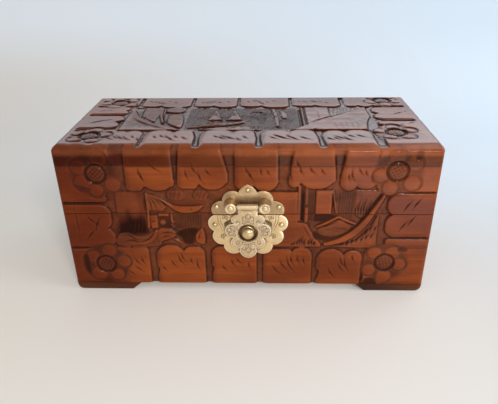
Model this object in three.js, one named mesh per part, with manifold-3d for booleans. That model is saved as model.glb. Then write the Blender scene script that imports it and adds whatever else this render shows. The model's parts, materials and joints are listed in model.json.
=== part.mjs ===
// Carved wooden jewelry box with a brass flower latch, butt hinges and a lift-out tray.
// Millimetres. +Z is up, +X runs along the front to the right, and -Y is the front.
// The origin lies on the table, under the middle of the box with its latch and hinges.

import * as THREE from 'three';
import { mergeVertices } from 'three/addons/utils/BufferGeometryUtils.js';
import Module from 'manifold-3d';

const wasm = await Module();
wasm.setup();

// ---------------------------------------------------------------- driving dimensions

// Case
const caseLength = 250;
const caseDepth = 118;
const footHeight = 6;
const bodyWallHeight = 56.5;
const seamGap = 0.4; // between the closed lid and the body
const rimHeight = 34;
const topThickness = 13;
const wall = 10;
const cornerRadius = 4; // rounding of the four upright corners
const rimDrop = 3; // how far the top edges of the lid fall away
const longRimReach = 8.5; // how far in they start, at the front and back
const endRimReach = 3; // and at the ends
const longFootEase = 1; // rounding of the feet at the floor, at the front and back
const endFootEase = 3; // and at the ends
const cornerLap = 5; // how far an end board sits in the front and back boards
const bottomThickness = 6;
const bottomHousing = 5; // how far the bottom board sits in the walls
const glueLine = 0.1;
const cutFit = 0.3; // around a piece let into another

// Feet
const footFront = 41; // flat length along the front
const footSide = 26; // flat length along the end
const footSlope = 7; // run of the slanted inner end

// Tray and its bearers
const trayPlay = 0.8; // to the walls on each side
const trayWall = 4;
const trayWallHeight = 21;
const trayFloor = 3;
const dividerThickness = 3;
const dividerDrop = 3; // how far a divider stays below the tray's edge
const dividerOffset = 44; // from the middle of the tray
const fingerNotchRadius = 11;
const wellHeight = 24.3; // free height under the tray
const bearerWidth = 5;
const bearerHeight = 6;
const trayRest = 0.2; // between the tray and its bearers

// Latch plates
const latchOffset = 0.9; // to the right of the middle
const rosetteRadius = 27; // to the tips of the lobes
const rosetteNotch = 23.9; // to the notches between the lobes
const rosetteLobes = 12;
const rosetteDrop = 6.5; // centre below the seam
const crestRadius = 29; // to the pointed top of the upper plate
const crestFullness = 1; // how far the sides of that point swell
const plateThickness = 1;
const plateBevel = 0.3;
const plateSetback = 0.3; // from the seam
const nailHeadRadius = 1.5;
const nailHeadHeight = 1.2;
const nailShankRadius = 0.5;
const nailLength = 6;
const crestNailRadius = 25.2; // place of the top nail from the rosette's centre
const wingNailRadius = 24.3;
const wingNailAngle = 32;
const lowerNailRadius = 22.4;
const lowerNailAngle = -2;

// Latch posts, pin, hasp and knob
const seatGap = 0.2; // under a head or a collar
const postSpacing = 22.4;
const postRadius = 3.9;
const postLength = 6.6; // straight part in front of the plate
const postDome = 1.4;
const postRise = 8.5; // above the seam
const rivetRadius = 1.5; // shank in the wood
const rivetLength = 8;
const latchPinRadius = 0.85;
const latchPinDrop = 0.8; // below the axis of the posts
const latchPinInset = 2.6; // into each post
const runningGap = 0.3; // between a pin and its knuckle
const knuckleRadius = 2.1;
const haspThickness = 1.2;
const haspStandoff = 0.9; // from the lower plate
const neckPlay = 0.7; // from the hasp's neck to each post
const haspHoleRadius = 6;
const haspHoleDrop = 20.9; // below the pin
const knobRadius = 4.05;
const knobLength = 3.3; // straight part in front of the plate
const knobDome = 2;
const knobDrop = 12.8; // below the seam

// The flower of the hasp: its lobes down one side, from the pin's axis, in shares of its length
const haspLength = 40.6;
const haspLobes = [
  { across: 0.187, down: 0.251, radius: 0.091 },
  { across: 0.246, down: 0.466, radius: 0.138 },
  { across: 0.18, down: 0.697, radius: 0.113 },
];
const haspTipRadius = 0.145;

// Rear hinges
const hingeInset = 45; // from the end of the case to the middle of a hinge
const hingeWidth = 30;
const leafDepth = 8; // into the wall
const leafThickness = 1;
const barrelRadius = 2.2;
const hingePinRadius = 0.8;
const middleKnuckle = 11;
const screwSpacing = 0.6 * hingeWidth;
const screwSetback = 4.5; // from the back face
const screwHeadRadius = 1.7;
const screwHeadHeight = 0.7;
const screwShankRadius = 0.8;
const screwLength = 7;

// Fineness of round forms
const turnedSides = 16;
const arcSteps = 4;
const easeSteps = 6;

// ---------------------------------------------------------------- places worked out

const fromDegrees = THREE.MathUtils.degToRad;
const bodyTop = footHeight + bodyWallHeight;
const rimBottom = bodyTop + seamGap;
const rimTop = rimBottom + rimHeight;
const topBottom = rimTop + glueLine;
const caseHeight = topBottom + topThickness;
const bottomTop = footHeight + bottomThickness;
const bearerTop = bottomTop + wellHeight;
const trayBase = bearerTop + trayRest;
const trayWallBase = trayBase + trayFloor + glueLine;
const insideLength = caseLength - 2 * wall;
const insideDepth = caseDepth - 2 * wall;
const trayLength = insideLength - 2 * trayPlay;
const trayDepth = insideDepth - 2 * trayPlay;
const hingeAxisY = caseDepth / 2 + cutFit + barrelRadius;
const hingeAxisZ = bodyTop + seamGap / 2;
const haspBack = plateThickness + haspStandoff;
const latchPinOut = haspBack + knuckleRadius;
const latchPinRise = postRise - latchPinDrop;
const neckHalf = postSpacing / 2 - postRadius - neckPlay;
const reachFront = caseDepth / 2 + plateThickness + seatGap + postLength + postDome;
const reachBack = hingeAxisY + barrelRadius;
const beyond = 20; // overrun of a blank that is trimmed afterwards

// ---------------------------------------------------------------- materials

const wood = (name, color) =>
  Object.assign(new THREE.MeshStandardMaterial({ color, roughness: 0.38, metalness: 0 }), { name });
const lacqueredWood = wood('lacquered_wood', 0x8c431f);
const plainWood = wood('plain_wood', 0xb98a5a);
const brass = new THREE.MeshStandardMaterial({ color: 0xd0b072, roughness: 0.35, metalness: 1 });
const steel = new THREE.MeshStandardMaterial({ color: 0xa89a80, roughness: 0.4, metalness: 1 });

// ---------------------------------------------------------------- solids

function toSolid(geometry) {
  const plain = geometry.index ? geometry.toNonIndexed() : geometry.clone();
  plain.deleteAttribute('normal');
  plain.deleteAttribute('uv');
  const merged = mergeVertices(plain, 1e-4);
  const mesh = new wasm.Mesh({
    numProp: 3,
    vertProperties: new Float32Array(merged.attributes.position.array),
    triVerts: new Uint32Array(merged.index.array),
  });
  return new wasm.Manifold(mesh);
}

function toGeometry(solid) {
  const mesh = solid.getMesh();
  const geometry = new THREE.BufferGeometry();
  geometry.setAttribute('position', new THREE.BufferAttribute(mesh.vertProperties, 3));
  geometry.setIndex(new THREE.BufferAttribute(mesh.triVerts, 1));
  geometry.computeVertexNormals();
  return geometry;
}

function cut(geometry, tools) {
  const solid = tools.reduce((left, tool) => left.subtract(toSolid(tool)), toSolid(geometry));
  return toGeometry(solid);
}

function common(geometry, ...others) {
  const solid = others.reduce((left, other) => left.intersect(toSolid(other)), toSolid(geometry));
  return toGeometry(solid);
}

function join(geometry, ...others) {
  const solid = others.reduce((left, other) => left.add(toSolid(other)), toSolid(geometry));
  return toGeometry(solid);
}

// A box between two corners.
function block([x0, y0, z0], [x1, y1, z1]) {
  const box = new THREE.BoxGeometry(x1 - x0, y1 - y0, z1 - z0);
  return box.translate((x0 + x1) / 2, (y0 + y1) / 2, (z0 + z1) / 2);
}

// An outline in X and Y, stood up along Z.
function prism(outline, z0, z1) {
  const shape = Array.isArray(outline)
    ? new THREE.Shape(outline.map(([x, y]) => new THREE.Vector2(x, y)))
    : outline;
  const geometry = new THREE.ExtrudeGeometry(shape, {
    depth: z1 - z0,
    bevelEnabled: false,
    curveSegments: arcSteps,
  });
  return geometry.translate(0, 0, z0);
}

// The same kind of prism, laid so that its outline is in Y and Z and its length along X.
function prismAlongX(outline, x0, x1) {
  const turn = new THREE.Matrix4().makeBasis(
    new THREE.Vector3(0, 1, 0),
    new THREE.Vector3(0, 0, 1),
    new THREE.Vector3(1, 0, 0),
  );
  return prism(outline, x0, x1).applyMatrix4(turn);
}

// The same, with its outline in X and Z and its length along Y.
function prismAlongY(outline, y0, y1) {
  return prism(outline, -y1, -y0).rotateX(Math.PI / 2);
}

// A turned piece about Z from pairs of radius and height, first and last on the axis.
function turned(profile) {
  const points = profile.map(([radius, height]) => new THREE.Vector2(radius, height));
  return new THREE.LatheGeometry(points, turnedSides).rotateX(Math.PI / 2);
}

function rod(radius, z0, z1) {
  return turned([
    [0, z0],
    [radius, z0],
    [radius, z1],
    [0, z1],
  ]);
}

function rodAlongX(radius, x0, x1) {
  return rod(radius, x0, x1).rotateY(Math.PI / 2);
}

// Points of a low dome, from the edge of its foot up to its crown on the axis.
function dome(radius, height, foot) {
  const steps = 4;
  return Array.from({ length: steps + 1 }, (_, step) => {
    const angle = (step / steps) * (Math.PI / 2);
    const reach = step === steps ? 0 : radius * Math.cos(angle);
    return [reach, foot + height * Math.sin(angle)];
  });
}

// ---------------------------------------------------------------- assembly groups

const jewelryBox = new THREE.Group();
jewelryBox.position.y = (reachFront - reachBack) / 2;

function place(parent, name, geometry, material, x = 0, y = 0, z = 0) {
  const mesh = new THREE.Mesh(geometry, material);
  mesh.name = name;
  mesh.position.set(x, y, z);
  parent.add(mesh);
}

// A group on the front face: its X is right, its Y is up and its Z points out of the face.
function frontFaceGroup(x, z) {
  const group = new THREE.Group();
  group.position.set(x, -caseDepth / 2, z);
  group.rotation.x = Math.PI / 2;
  jewelryBox.add(group);
  return group;
}

// ---------------------------------------------------------------- case boards

// A rectangle with round corners, seen from above.
function roundedPlan(length, depth, radius) {
  const corners = [[1, 1, 0], [-1, 1, 90], [-1, -1, 180], [1, -1, 270]];
  return corners.flatMap(([sideX, sideY, start]) =>
    Array.from({ length: easeSteps + 1 }, (_, step) => {
      const angle = fromDegrees(start + (step / easeSteps) * 90);
      return [
        sideX * (length / 2 - radius) + radius * Math.cos(angle),
        sideY * (depth / 2 - radius) + radius * Math.sin(angle),
      ];
    }),
  );
}

// A cross-section of the case, as wide as size: eased at the floor, and falling away at its rim.
function easedOutline(size, ease, rimReach) {
  const angles = Array.from({ length: easeSteps + 1 }, (_, step) =>
    fromDegrees((step / easeSteps) * 90),
  );
  const low = angles.map((angle) => [
    size / 2 - ease * (1 - Math.sin(angle)),
    ease * (1 - Math.cos(angle)),
  ]);
  const high = angles.map((angle) => [
    size / 2 - rimReach * (1 - Math.cos(angle)),
    caseHeight - rimDrop * (1 - Math.sin(angle)),
  ]);
  const side = [...low, ...high];
  const mirrored = side.map(([across, z]) => [-across, z]).reverse();
  return [...side, ...mirrored];
}

// The outside of the whole case.
function caseEnvelope() {
  const [halfLength, halfDepth] = [caseLength, caseDepth].map((size) => size / 2 + beyond);
  return common(
    prism(roundedPlan(caseLength, caseDepth, cornerRadius), 0, caseHeight),
    prismAlongY(easedOutline(caseLength, endFootEase, endRimReach), -halfDepth, halfDepth),
    prismAlongX(easedOutline(caseDepth, longFootEase, longRimReach), -halfLength, halfLength),
  );
}

// A front (side -1) or back (side 1) board, rebated at both ends for the end boards.
function longBoard(side, z0, z1) {
  const outer = caseDepth / 2 + beyond;
  const lapped = caseDepth / 2 - (wall - cornerLap);
  const inner = caseDepth / 2 - wall;
  const shoulder = caseLength / 2 - wall - glueLine;
  const end = caseLength / 2 + beyond;
  const outline = [
    [-end, outer],
    [end, outer],
    [end, lapped],
    [shoulder, lapped],
    [shoulder, inner],
    [-shoulder, inner],
    [-shoulder, lapped],
    [-end, lapped],
  ].map(([x, y]) => [x, side * y]);
  return common(prism(outline, z0, z1), caseEnvelope());
}

// A left (side -1) or right (side 1) board, sitting in the rebates.
function endBoard(side, z0, z1) {
  const halfDepth = caseDepth / 2 - (wall - cornerLap) - glueLine;
  const inner = side * (caseLength / 2 - wall);
  const outer = side * (caseLength / 2 + beyond);
  const blank = block(
    [Math.min(inner, outer), -halfDepth, z0],
    [Math.max(inner, outer), halfDepth, z1],
  );
  return common(blank, caseEnvelope());
}

function bottomBoard(clearance, underside) {
  const halfLength = insideLength / 2 + bottomHousing - cutFit + clearance;
  const halfDepth = insideDepth / 2 + bottomHousing - cutFit + clearance;
  return block(
    [-halfLength, -halfDepth, underside],
    [halfLength, halfDepth, bottomTop + clearance],
  );
}

// A corner foot: slanted at its two inner ends, rounded with the case at its outer edges.
function foot(sideX, sideY) {
  const slanted = (half, flat) => [
    [half + beyond, -beyond],
    [half + beyond, footHeight - glueLine],
    [half - flat - footSlope, footHeight - glueLine],
    [half - flat, 0],
    [half - flat, -beyond],
  ];
  const alongFront = slanted(caseLength / 2, footFront).map(([x, z]) => [sideX * x, z]);
  const alongEnd = slanted(caseDepth / 2, footSide).map(([y, z]) => [sideY * y, z]);
  const reach = [caseDepth, caseLength].map((size) => size / 2 + beyond);
  return common(
    prismAlongY(alongFront, -reach[0], reach[0]),
    prismAlongX(alongEnd, -reach[1], reach[1]),
    caseEnvelope(),
  );
}

// ---------------------------------------------------------------- holes for the fittings

const aroundRosette = (radius, degrees) => [
  latchOffset + radius * Math.cos(fromDegrees(degrees)),
  bodyTop - rosetteDrop + radius * Math.sin(fromDegrees(degrees)),
];
const upperNails = [
  aroundRosette(crestNailRadius, 90),
  aroundRosette(wingNailRadius, wingNailAngle),
  aroundRosette(wingNailRadius, 180 - wingNailAngle),
];
const lowerNails = [
  aroundRosette(lowerNailRadius, lowerNailAngle),
  aroundRosette(lowerNailRadius, 180 - lowerNailAngle),
];
const posts = [-1, 1].map((side) => [latchOffset + (side * postSpacing) / 2, bodyTop + postRise]);
const knobs = [[latchOffset, bodyTop - knobDrop]];

// Drills into the front face from in front, at points given across and up.
function frontDrills(points, radius, depth) {
  return points.map(([x, z]) =>
    rod(radius, -beyond, depth).rotateX(-Math.PI / 2).translate(x, -caseDepth / 2, z),
  );
}

const hingeCentres = [-1, 1].map((side) => side * (caseLength / 2 - hingeInset));
const screwPlaces = hingeCentres.flatMap((centre) =>
  [-1, 1].map((side) => [centre + (side * screwSpacing) / 2, caseDepth / 2 - screwSetback]),
);

// Recesses for the hinge leaves and pilot holes for their screws, from a flat edge at
// height z; up is 1 where the wood lies above the edge and -1 where it lies below.
function hingeRecesses(z, up) {
  const clear = z - up * cutFit;
  const sunk = z + up * (leafThickness + cutFit);
  const drilled = z + up * (screwLength + cutFit);
  const recesses = hingeCentres.map((centre) =>
    block(
      [
        centre - hingeWidth / 2 - cutFit,
        caseDepth / 2 - leafDepth - cutFit,
        Math.min(clear, sunk),
      ],
      [centre + hingeWidth / 2 + cutFit, caseDepth / 2 + beyond, Math.max(clear, sunk)],
    ),
  );
  const holes = screwPlaces.map(([x, y]) =>
    rod(screwShankRadius + cutFit, Math.min(z, drilled), Math.max(z, drilled)).translate(x, y, 0),
  );
  return [...recesses, ...holes];
}

// ---------------------------------------------------------------- the case

function buildBody() {
  const housing = bottomBoard(cutFit, footHeight - beyond);
  const nailRoom = nailShankRadius + cutFit;
  const rivetRoom = rivetRadius + cutFit;
  const front = cut(longBoard(-1, footHeight, bodyTop), [
    housing,
    ...frontDrills(lowerNails, nailRoom, nailLength + cutFit),
    ...frontDrills(knobs, rivetRoom, rivetLength + cutFit),
  ]);
  const back = cut(longBoard(1, footHeight, bodyTop), [housing, ...hingeRecesses(bodyTop, -1)]);
  place(jewelryBox, 'body_front', front, lacqueredWood);
  place(jewelryBox, 'body_back', back, lacqueredWood);
  place(jewelryBox, 'body_left', cut(endBoard(-1, footHeight, bodyTop), [housing]), lacqueredWood);
  place(jewelryBox, 'body_right', cut(endBoard(1, footHeight, bodyTop), [housing]), lacqueredWood);
  place(jewelryBox, 'body_bottom', bottomBoard(0, footHeight), plainWood);
  place(jewelryBox, 'foot_front_left', foot(-1, -1), lacqueredWood);
  place(jewelryBox, 'foot_front_right', foot(1, -1), lacqueredWood);
  place(jewelryBox, 'foot_back_left', foot(-1, 1), lacqueredWood);
  place(jewelryBox, 'foot_back_right', foot(1, 1), lacqueredWood);
}

function buildLid() {
  const nailRoom = nailShankRadius + cutFit;
  const rivetRoom = rivetRadius + cutFit;
  const front = cut(longBoard(-1, rimBottom, rimTop), [
    ...frontDrills(upperNails, nailRoom, nailLength + cutFit),
    ...frontDrills(posts, rivetRoom, rivetLength + cutFit),
  ]);
  const back = cut(longBoard(1, rimBottom, rimTop), hingeRecesses(rimBottom, 1));
  const halves = [caseLength, caseDepth].map((size) => size / 2 + beyond);
  const blank = block(
    [-halves[0], -halves[1], topBottom],
    [halves[0], halves[1], caseHeight + beyond],
  );
  place(jewelryBox, 'lid_front', front, lacqueredWood);
  place(jewelryBox, 'lid_back', back, lacqueredWood);
  place(jewelryBox, 'lid_left', endBoard(-1, rimBottom, rimTop), lacqueredWood);
  place(jewelryBox, 'lid_right', endBoard(1, rimBottom, rimTop), lacqueredWood);
  place(jewelryBox, 'lid_top', common(blank, caseEnvelope()), lacqueredWood);
}

// ---------------------------------------------------------------- the tray

function buildTray() {
  const halfLength = trayLength / 2;
  const halfDepth = trayDepth / 2;
  const wallTop = trayWallBase + trayWallHeight;
  const innerDepth = halfDepth - trayWall - glueLine;
  const floor = block(
    [-halfLength, -halfDepth, trayBase],
    [halfLength, halfDepth, trayBase + trayFloor],
  );
  place(jewelryBox, 'tray_bottom', floor, plainWood);

  for (const [name, side] of [['tray_front', -1], ['tray_back', 1]]) {
    const board = new THREE.BoxGeometry(trayLength, trayWall, trayWallHeight);
    const y = side * (halfDepth - trayWall / 2);
    place(jewelryBox, name, board, plainWood, 0, y, trayWallBase + trayWallHeight / 2);
  }

  for (const [name, side] of [['tray_left', -1], ['tray_right', 1]]) {
    const blank = block(
      [-trayWall / 2, -innerDepth, trayWallBase],
      [trayWall / 2, innerDepth, wallTop],
    );
    const notch = rodAlongX(fingerNotchRadius, -beyond, beyond).translate(0, 0, wallTop);
    const x = side * (halfLength - trayWall / 2);
    place(jewelryBox, name, cut(blank, [notch]), plainWood, x);
  }

  for (const [name, side] of [['tray_divider_left', -1], ['tray_divider_right', 1]]) {
    const board = block(
      [-dividerThickness / 2, -innerDepth, trayWallBase],
      [dividerThickness / 2, innerDepth, wallTop - dividerDrop],
    );
    place(jewelryBox, name, board, plainWood, side * dividerOffset);
  }
}

function buildBearers() {
  const halfDepth = insideDepth / 2 - glueLine;
  for (const [name, side] of [['bearer_left', -1], ['bearer_right', 1]]) {
    const strip = block(
      [-bearerWidth / 2, -halfDepth, bearerTop - bearerHeight],
      [bearerWidth / 2, halfDepth, bearerTop],
    );
    const x = side * (insideLength / 2 - glueLine - bearerWidth / 2);
    place(jewelryBox, name, strip, plainWood, x);
  }
}

// ---------------------------------------------------------------- the latch plates

// A scalloped disc. Each lobe is an arc through its tip and its two notches; the lobe at
// the top can be drawn out to a point.
function rosetteShape(crest) {
  const step = (2 * Math.PI) / rosetteLobes;
  const halfChord = rosetteNotch * Math.sin(step / 2);
  const rise = rosetteRadius - rosetteNotch * Math.cos(step / 2);
  const lobeRadius = (halfChord ** 2 + rise ** 2) / (2 * rise);
  const lobeCentre = rosetteRadius - lobeRadius;
  const spread = Math.asin(halfChord / lobeRadius);
  const shape = new THREE.Shape();
  for (let lobe = 0; lobe < rosetteLobes; lobe += 1) {
    const middle = lobe * step;
    const isCrest = crest && Math.abs(middle - Math.PI / 2) < step / 4;
    if (isCrest) {
      const notch = middle + step / 2;
      const shoulder = (rosetteNotch + crestRadius) / 2 + crestFullness;
      const early = middle - step / 3;
      const late = middle + step / 3;
      shape.quadraticCurveTo(shoulder * Math.cos(early), shoulder * Math.sin(early), 0, crest);
      shape.quadraticCurveTo(
        shoulder * Math.cos(late),
        shoulder * Math.sin(late),
        rosetteNotch * Math.cos(notch),
        rosetteNotch * Math.sin(notch),
      );
    } else {
      const x = lobeCentre * Math.cos(middle);
      const y = lobeCentre * Math.sin(middle);
      shape.absarc(x, y, lobeRadius, middle - spread, middle + spread, false);
    }
  }
  return shape;
}

// A thin plate with bevelled edges, its back on the face of the wood.
function bevelledPlate(shape, thickness, bevel) {
  const geometry = new THREE.ExtrudeGeometry(shape, {
    depth: thickness - 2 * bevel,
    bevelEnabled: true,
    bevelThickness: bevel,
    bevelSize: bevel,
    bevelOffset: -bevel,
    bevelSegments: 1,
    curveSegments: arcSteps,
  });
  return geometry.translate(0, 0, bevel);
}

// One half of the rosette with its holes; sign is 1 above the seam and -1 below it.
function latchPlate(sign, holes) {
  const crest = sign > 0 ? crestRadius : 0;
  const seamUp = rosetteDrop + (sign > 0 ? seamGap + plateSetback : -plateSetback);
  const disc = bevelledPlate(rosetteShape(crest), plateThickness, plateBevel);
  const otherSide = block(
    [-2 * rosetteRadius, Math.min(seamUp, seamUp - sign * 3 * rosetteRadius), -beyond],
    [2 * rosetteRadius, Math.max(seamUp, seamUp - sign * 3 * rosetteRadius), beyond],
  );
  const drills = holes.map(([x, z, radius]) =>
    rod(radius, -beyond, beyond).translate(x - latchOffset, z - bodyTop + rosetteDrop, 0),
  );
  return cut(disc, [otherSide, ...drills]);
}

// A dome-headed nail, driven along -Z with its head on a plate's face at z = 0.
function nail() {
  return turned([
    [0, -nailLength],
    [nailShankRadius, -nailLength + 2 * nailShankRadius],
    [nailShankRadius, seatGap],
    ...dome(nailHeadRadius, nailHeadHeight, seatGap),
  ]);
}

// A domed post or knob with a rivet shank in the wood; z = 0 is the face of the wood.
function domedPost(radius, length, crown) {
  const foot = plateThickness + seatGap;
  return turned([
    [0, -rivetLength],
    [rivetRadius, -rivetLength],
    [rivetRadius, foot],
    [radius, foot],
    ...dome(radius, crown, foot + length),
  ]);
}

function latchPost(side) {
  const inner = -side * (postRadius + cutFit);
  const stop = side * (-postRadius + latchPinInset + cutFit);
  const hole = rodAlongX(latchPinRadius + cutFit, Math.min(inner, stop), Math.max(inner, stop));
  hole.translate(0, -latchPinDrop, latchPinOut);
  return cut(domedPost(postRadius, postLength, postDome), [hole]);
}

// ---------------------------------------------------------------- the hasp

// The crossing of two circles that lies farther from the point (0, -centreDown).
function outerCrossing(a, b, centreDown) {
  const dx = b.x - a.x;
  const dy = b.y - a.y;
  const distance = Math.hypot(dx, dy);
  const along = (distance ** 2 + a.radius ** 2 - b.radius ** 2) / (2 * distance);
  const aside = Math.sqrt(Math.max(a.radius ** 2 - along ** 2, 0));
  const crossings = [1, -1].map((sign) => ({
    x: a.x + (dx * along - sign * dy * aside) / distance,
    y: a.y + (dy * along + sign * dx * aside) / distance,
  }));
  const reach = (point) => Math.hypot(point.x, point.y + centreDown);
  return crossings.sort((one, other) => reach(other) - reach(one))[0];
}

// The hasp's outline: a neck hanging from the pin's axis, and lobes round a hole.
function haspShape() {
  const [left, right] = [-1, 1].map((side) =>
    haspLobes.map(({ across, down, radius }) => ({
      x: side * across * haspLength,
      y: -down * haspLength,
      radius: radius * haspLength,
    })),
  );
  const tip = { x: 0, y: (haspTipRadius - 1) * haspLength, radius: haspTipRadius * haspLength };
  const lobes = [...left, tip, ...right.reverse()];
  const neckEnd = (lobe, x) => ({ x, y: lobe.y + Math.sqrt(lobe.radius ** 2 - (x - lobe.x) ** 2) });
  const joints = [
    neckEnd(lobes[0], -neckHalf),
    ...lobes.slice(1).map((lobe, index) => outerCrossing(lobes[index], lobe, haspHoleDrop)),
    neckEnd(lobes.at(-1), neckHalf),
  ];
  const shape = new THREE.Shape();
  shape.moveTo(-neckHalf, 0);
  shape.lineTo(joints[0].x, joints[0].y);
  lobes.forEach((lobe, index) => {
    const start = Math.atan2(joints[index].y - lobe.y, joints[index].x - lobe.x);
    const end = Math.atan2(joints[index + 1].y - lobe.y, joints[index + 1].x - lobe.x);
    shape.absarc(lobe.x, lobe.y, lobe.radius, start, end, false);
  });
  shape.lineTo(neckHalf, 0);
  shape.closePath();
  return shape;
}

// The hasp about its pin: X along the pin, the flower hanging down -Y, Z out of the face.
function hasp() {
  const strap = bevelledPlate(haspShape(), haspThickness, plateBevel);
  strap.translate(0, 0, -knuckleRadius);
  const knuckle = rodAlongX(knuckleRadius, -neckHalf, neckHalf);
  const bore = rodAlongX(latchPinRadius + runningGap, -beyond, beyond);
  const hole = rod(haspHoleRadius, -beyond, beyond).translate(0, -haspHoleDrop, 0);
  return cut(join(strap, knuckle), [bore, hole]);
}

function buildLatch() {
  const nailRoom = nailShankRadius + cutFit;
  const rivetRoom = rivetRadius + cutFit;
  const upperHoles = [
    ...upperNails.map((point) => [...point, nailRoom]),
    ...posts.map((point) => [...point, rivetRoom]),
  ];
  const lowerHoles = [
    ...lowerNails.map((point) => [...point, nailRoom]),
    ...knobs.map((point) => [...point, rivetRoom]),
  ];
  const plates = frontFaceGroup(latchOffset, bodyTop - rosetteDrop);
  place(plates, 'latch_upper_plate', latchPlate(1, upperHoles), brass);
  place(plates, 'latch_lower_plate', latchPlate(-1, lowerHoles), brass);

  const fittings = frontFaceGroup(0, 0);
  const nails = [...upperNails, ...lowerNails];
  const nailNames = ['crest', 'upper_right', 'upper_left', 'lower_right', 'lower_left'];
  nails.forEach(([x, z], index) => {
    place(fittings, `latch_nail_${nailNames[index]}`, nail(), brass, x, z, plateThickness);
  });
  place(fittings, 'latch_post_left', latchPost(-1), brass, ...posts[0], 0);
  place(fittings, 'latch_post_right', latchPost(1), brass, ...posts[1], 0);
  const knob = domedPost(knobRadius, knobLength, knobDome);
  place(fittings, 'latch_knob', knob, brass, ...knobs[0], 0);

  const pinHalf = postSpacing / 2 - postRadius + latchPinInset;
  const pin = rodAlongX(latchPinRadius, -pinHalf, pinHalf);
  const onPin = [latchOffset, bodyTop + latchPinRise, latchPinOut];
  place(fittings, 'latch_pin', pin, brass, ...onPin);
  place(fittings, 'hasp', hasp(), brass, ...onPin);
}

// ---------------------------------------------------------------- the rear hinges

// A leaf with its knuckles about the hinge axis, in Y and Z round (0, 0), along X. It lies
// above the axis where up is 1 and below it where up is -1.
function hingeLeaf(up, hasMiddle) {
  const near = seamGap / 2;
  const root = caseDepth / 2 - hingeAxisY;
  const plate = block(
    [-hingeWidth / 2, root - leafDepth, Math.min(up * near, up * (near + leafThickness))],
    [hingeWidth / 2, 0, Math.max(up * near, up * (near + leafThickness))],
  );
  const barrel = rodAlongX(barrelRadius, -hingeWidth / 2, hingeWidth / 2);
  const bore = rodAlongX(hingePinRadius + runningGap, -beyond, beyond);
  const middle = middleKnuckle / 2 + (hasMiddle ? 0 : runningGap);
  const gapEnds = hasMiddle
    ? [[-hingeWidth, -middle], [middle, hingeWidth]]
    : [[-middle, middle]];
  const gaps = gapEnds.map(([x0, x1]) =>
    block([x0, -barrelRadius - cutFit, -beyond], [x1, beyond, beyond]),
  );
  const sinks = [-1, 1].map((side) => countersink(up).translate((side * screwSpacing) / 2, 0, 0));
  return cut(join(plate, barrel), [bore, ...gaps, ...sinks]);
}

// A countersunk hole in a leaf, wide at the face that meets the other leaf.
function countersink(up) {
  const face = (up * seamGap) / 2;
  const steps = [
    [0, -cutFit],
    [screwHeadRadius + cutFit, -cutFit],
    [screwHeadRadius + cutFit, 0],
    [screwShankRadius + cutFit, screwHeadHeight],
    [screwShankRadius + cutFit, 2 * leafThickness],
    [0, 2 * leafThickness],
  ];
  const profile = steps.map(([radius, depth]) => [radius, face + up * depth]);
  if (up < 0) profile.reverse();
  return turned(profile).translate(0, caseDepth / 2 - screwSetback - hingeAxisY, 0);
}

// A countersunk screw, its flat head at z = 0 and its point in the direction up.
function screw(up) {
  const steps = [
    [0, 0],
    [screwHeadRadius, 0],
    [screwShankRadius, screwHeadHeight],
    [screwShankRadius, screwLength - 2 * screwShankRadius],
    [0, screwLength],
  ];
  const profile = steps.map(([radius, depth]) => [radius, up * depth]);
  if (up < 0) profile.reverse();
  return turned(profile);
}

function hingePin() {
  const half = hingeWidth / 2;
  const crown = dome(hingePinRadius, hingePinRadius / 2, half);
  const foot = crown.map(([radius, height]) => [radius, -height]).reverse();
  return turned([...foot, ...crown]).rotateY(Math.PI / 2);
}

function buildHinges() {
  ['left', 'right'].forEach((side, index) => {
    const hinge = new THREE.Group();
    hinge.position.set(hingeCentres[index], hingeAxisY, hingeAxisZ);
    jewelryBox.add(hinge);
    place(hinge, `hinge_${side}_body_leaf`, hingeLeaf(-1, false), brass);
    place(hinge, `hinge_${side}_lid_leaf`, hingeLeaf(1, true), brass);
    place(hinge, `hinge_${side}_pin`, hingePin(), steel);
    const setback = caseDepth / 2 - screwSetback - hingeAxisY;
    const rows = [['body', -1], ['lid', 1]];
    for (const [row, up] of rows) {
      for (const [number, hand] of [[1, -1], [2, 1]]) {
        const name = `hinge_${side}_${row}_screw_${number}`;
        const x = (hand * screwSpacing) / 2;
        place(hinge, name, screw(up), steel, x, setback, (up * seamGap) / 2);
      }
    }
  });
}

buildBody();
buildBearers();
buildLid();
buildLatch();
buildHinges();
buildTray();

export default jewelryBox;
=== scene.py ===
"""Carved wooden jewelry box: the looks of a planed, carved, stained and lacquered case with a
pale brass flower latch, butt hinges and a lift-out tray. Everything is in metres in the frame of
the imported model; the carving and the small brass work are worked out in millimetres."""

import json
import math

import bmesh
import bpy
import numpy as np
from mathutils import Matrix, Vector


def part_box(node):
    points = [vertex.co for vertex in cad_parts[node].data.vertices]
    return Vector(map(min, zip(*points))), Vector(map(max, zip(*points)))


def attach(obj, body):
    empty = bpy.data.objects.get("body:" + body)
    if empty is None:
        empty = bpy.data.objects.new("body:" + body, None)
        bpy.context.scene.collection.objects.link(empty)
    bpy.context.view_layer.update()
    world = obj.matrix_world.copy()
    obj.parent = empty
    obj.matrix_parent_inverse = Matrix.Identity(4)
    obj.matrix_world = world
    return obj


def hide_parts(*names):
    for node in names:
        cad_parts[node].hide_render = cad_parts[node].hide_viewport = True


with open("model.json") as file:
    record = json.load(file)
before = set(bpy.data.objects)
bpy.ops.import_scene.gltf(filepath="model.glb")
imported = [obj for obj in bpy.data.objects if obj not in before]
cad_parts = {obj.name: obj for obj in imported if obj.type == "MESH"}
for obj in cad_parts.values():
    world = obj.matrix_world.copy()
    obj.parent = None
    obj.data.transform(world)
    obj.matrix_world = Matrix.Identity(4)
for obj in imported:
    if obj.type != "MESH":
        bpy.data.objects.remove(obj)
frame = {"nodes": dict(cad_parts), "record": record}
bpy.context.scene.view_settings.view_transform = "Standard"
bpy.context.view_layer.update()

MM = 0.001
bodies = frame["record"]["behaviour"]["bodies"]
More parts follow.
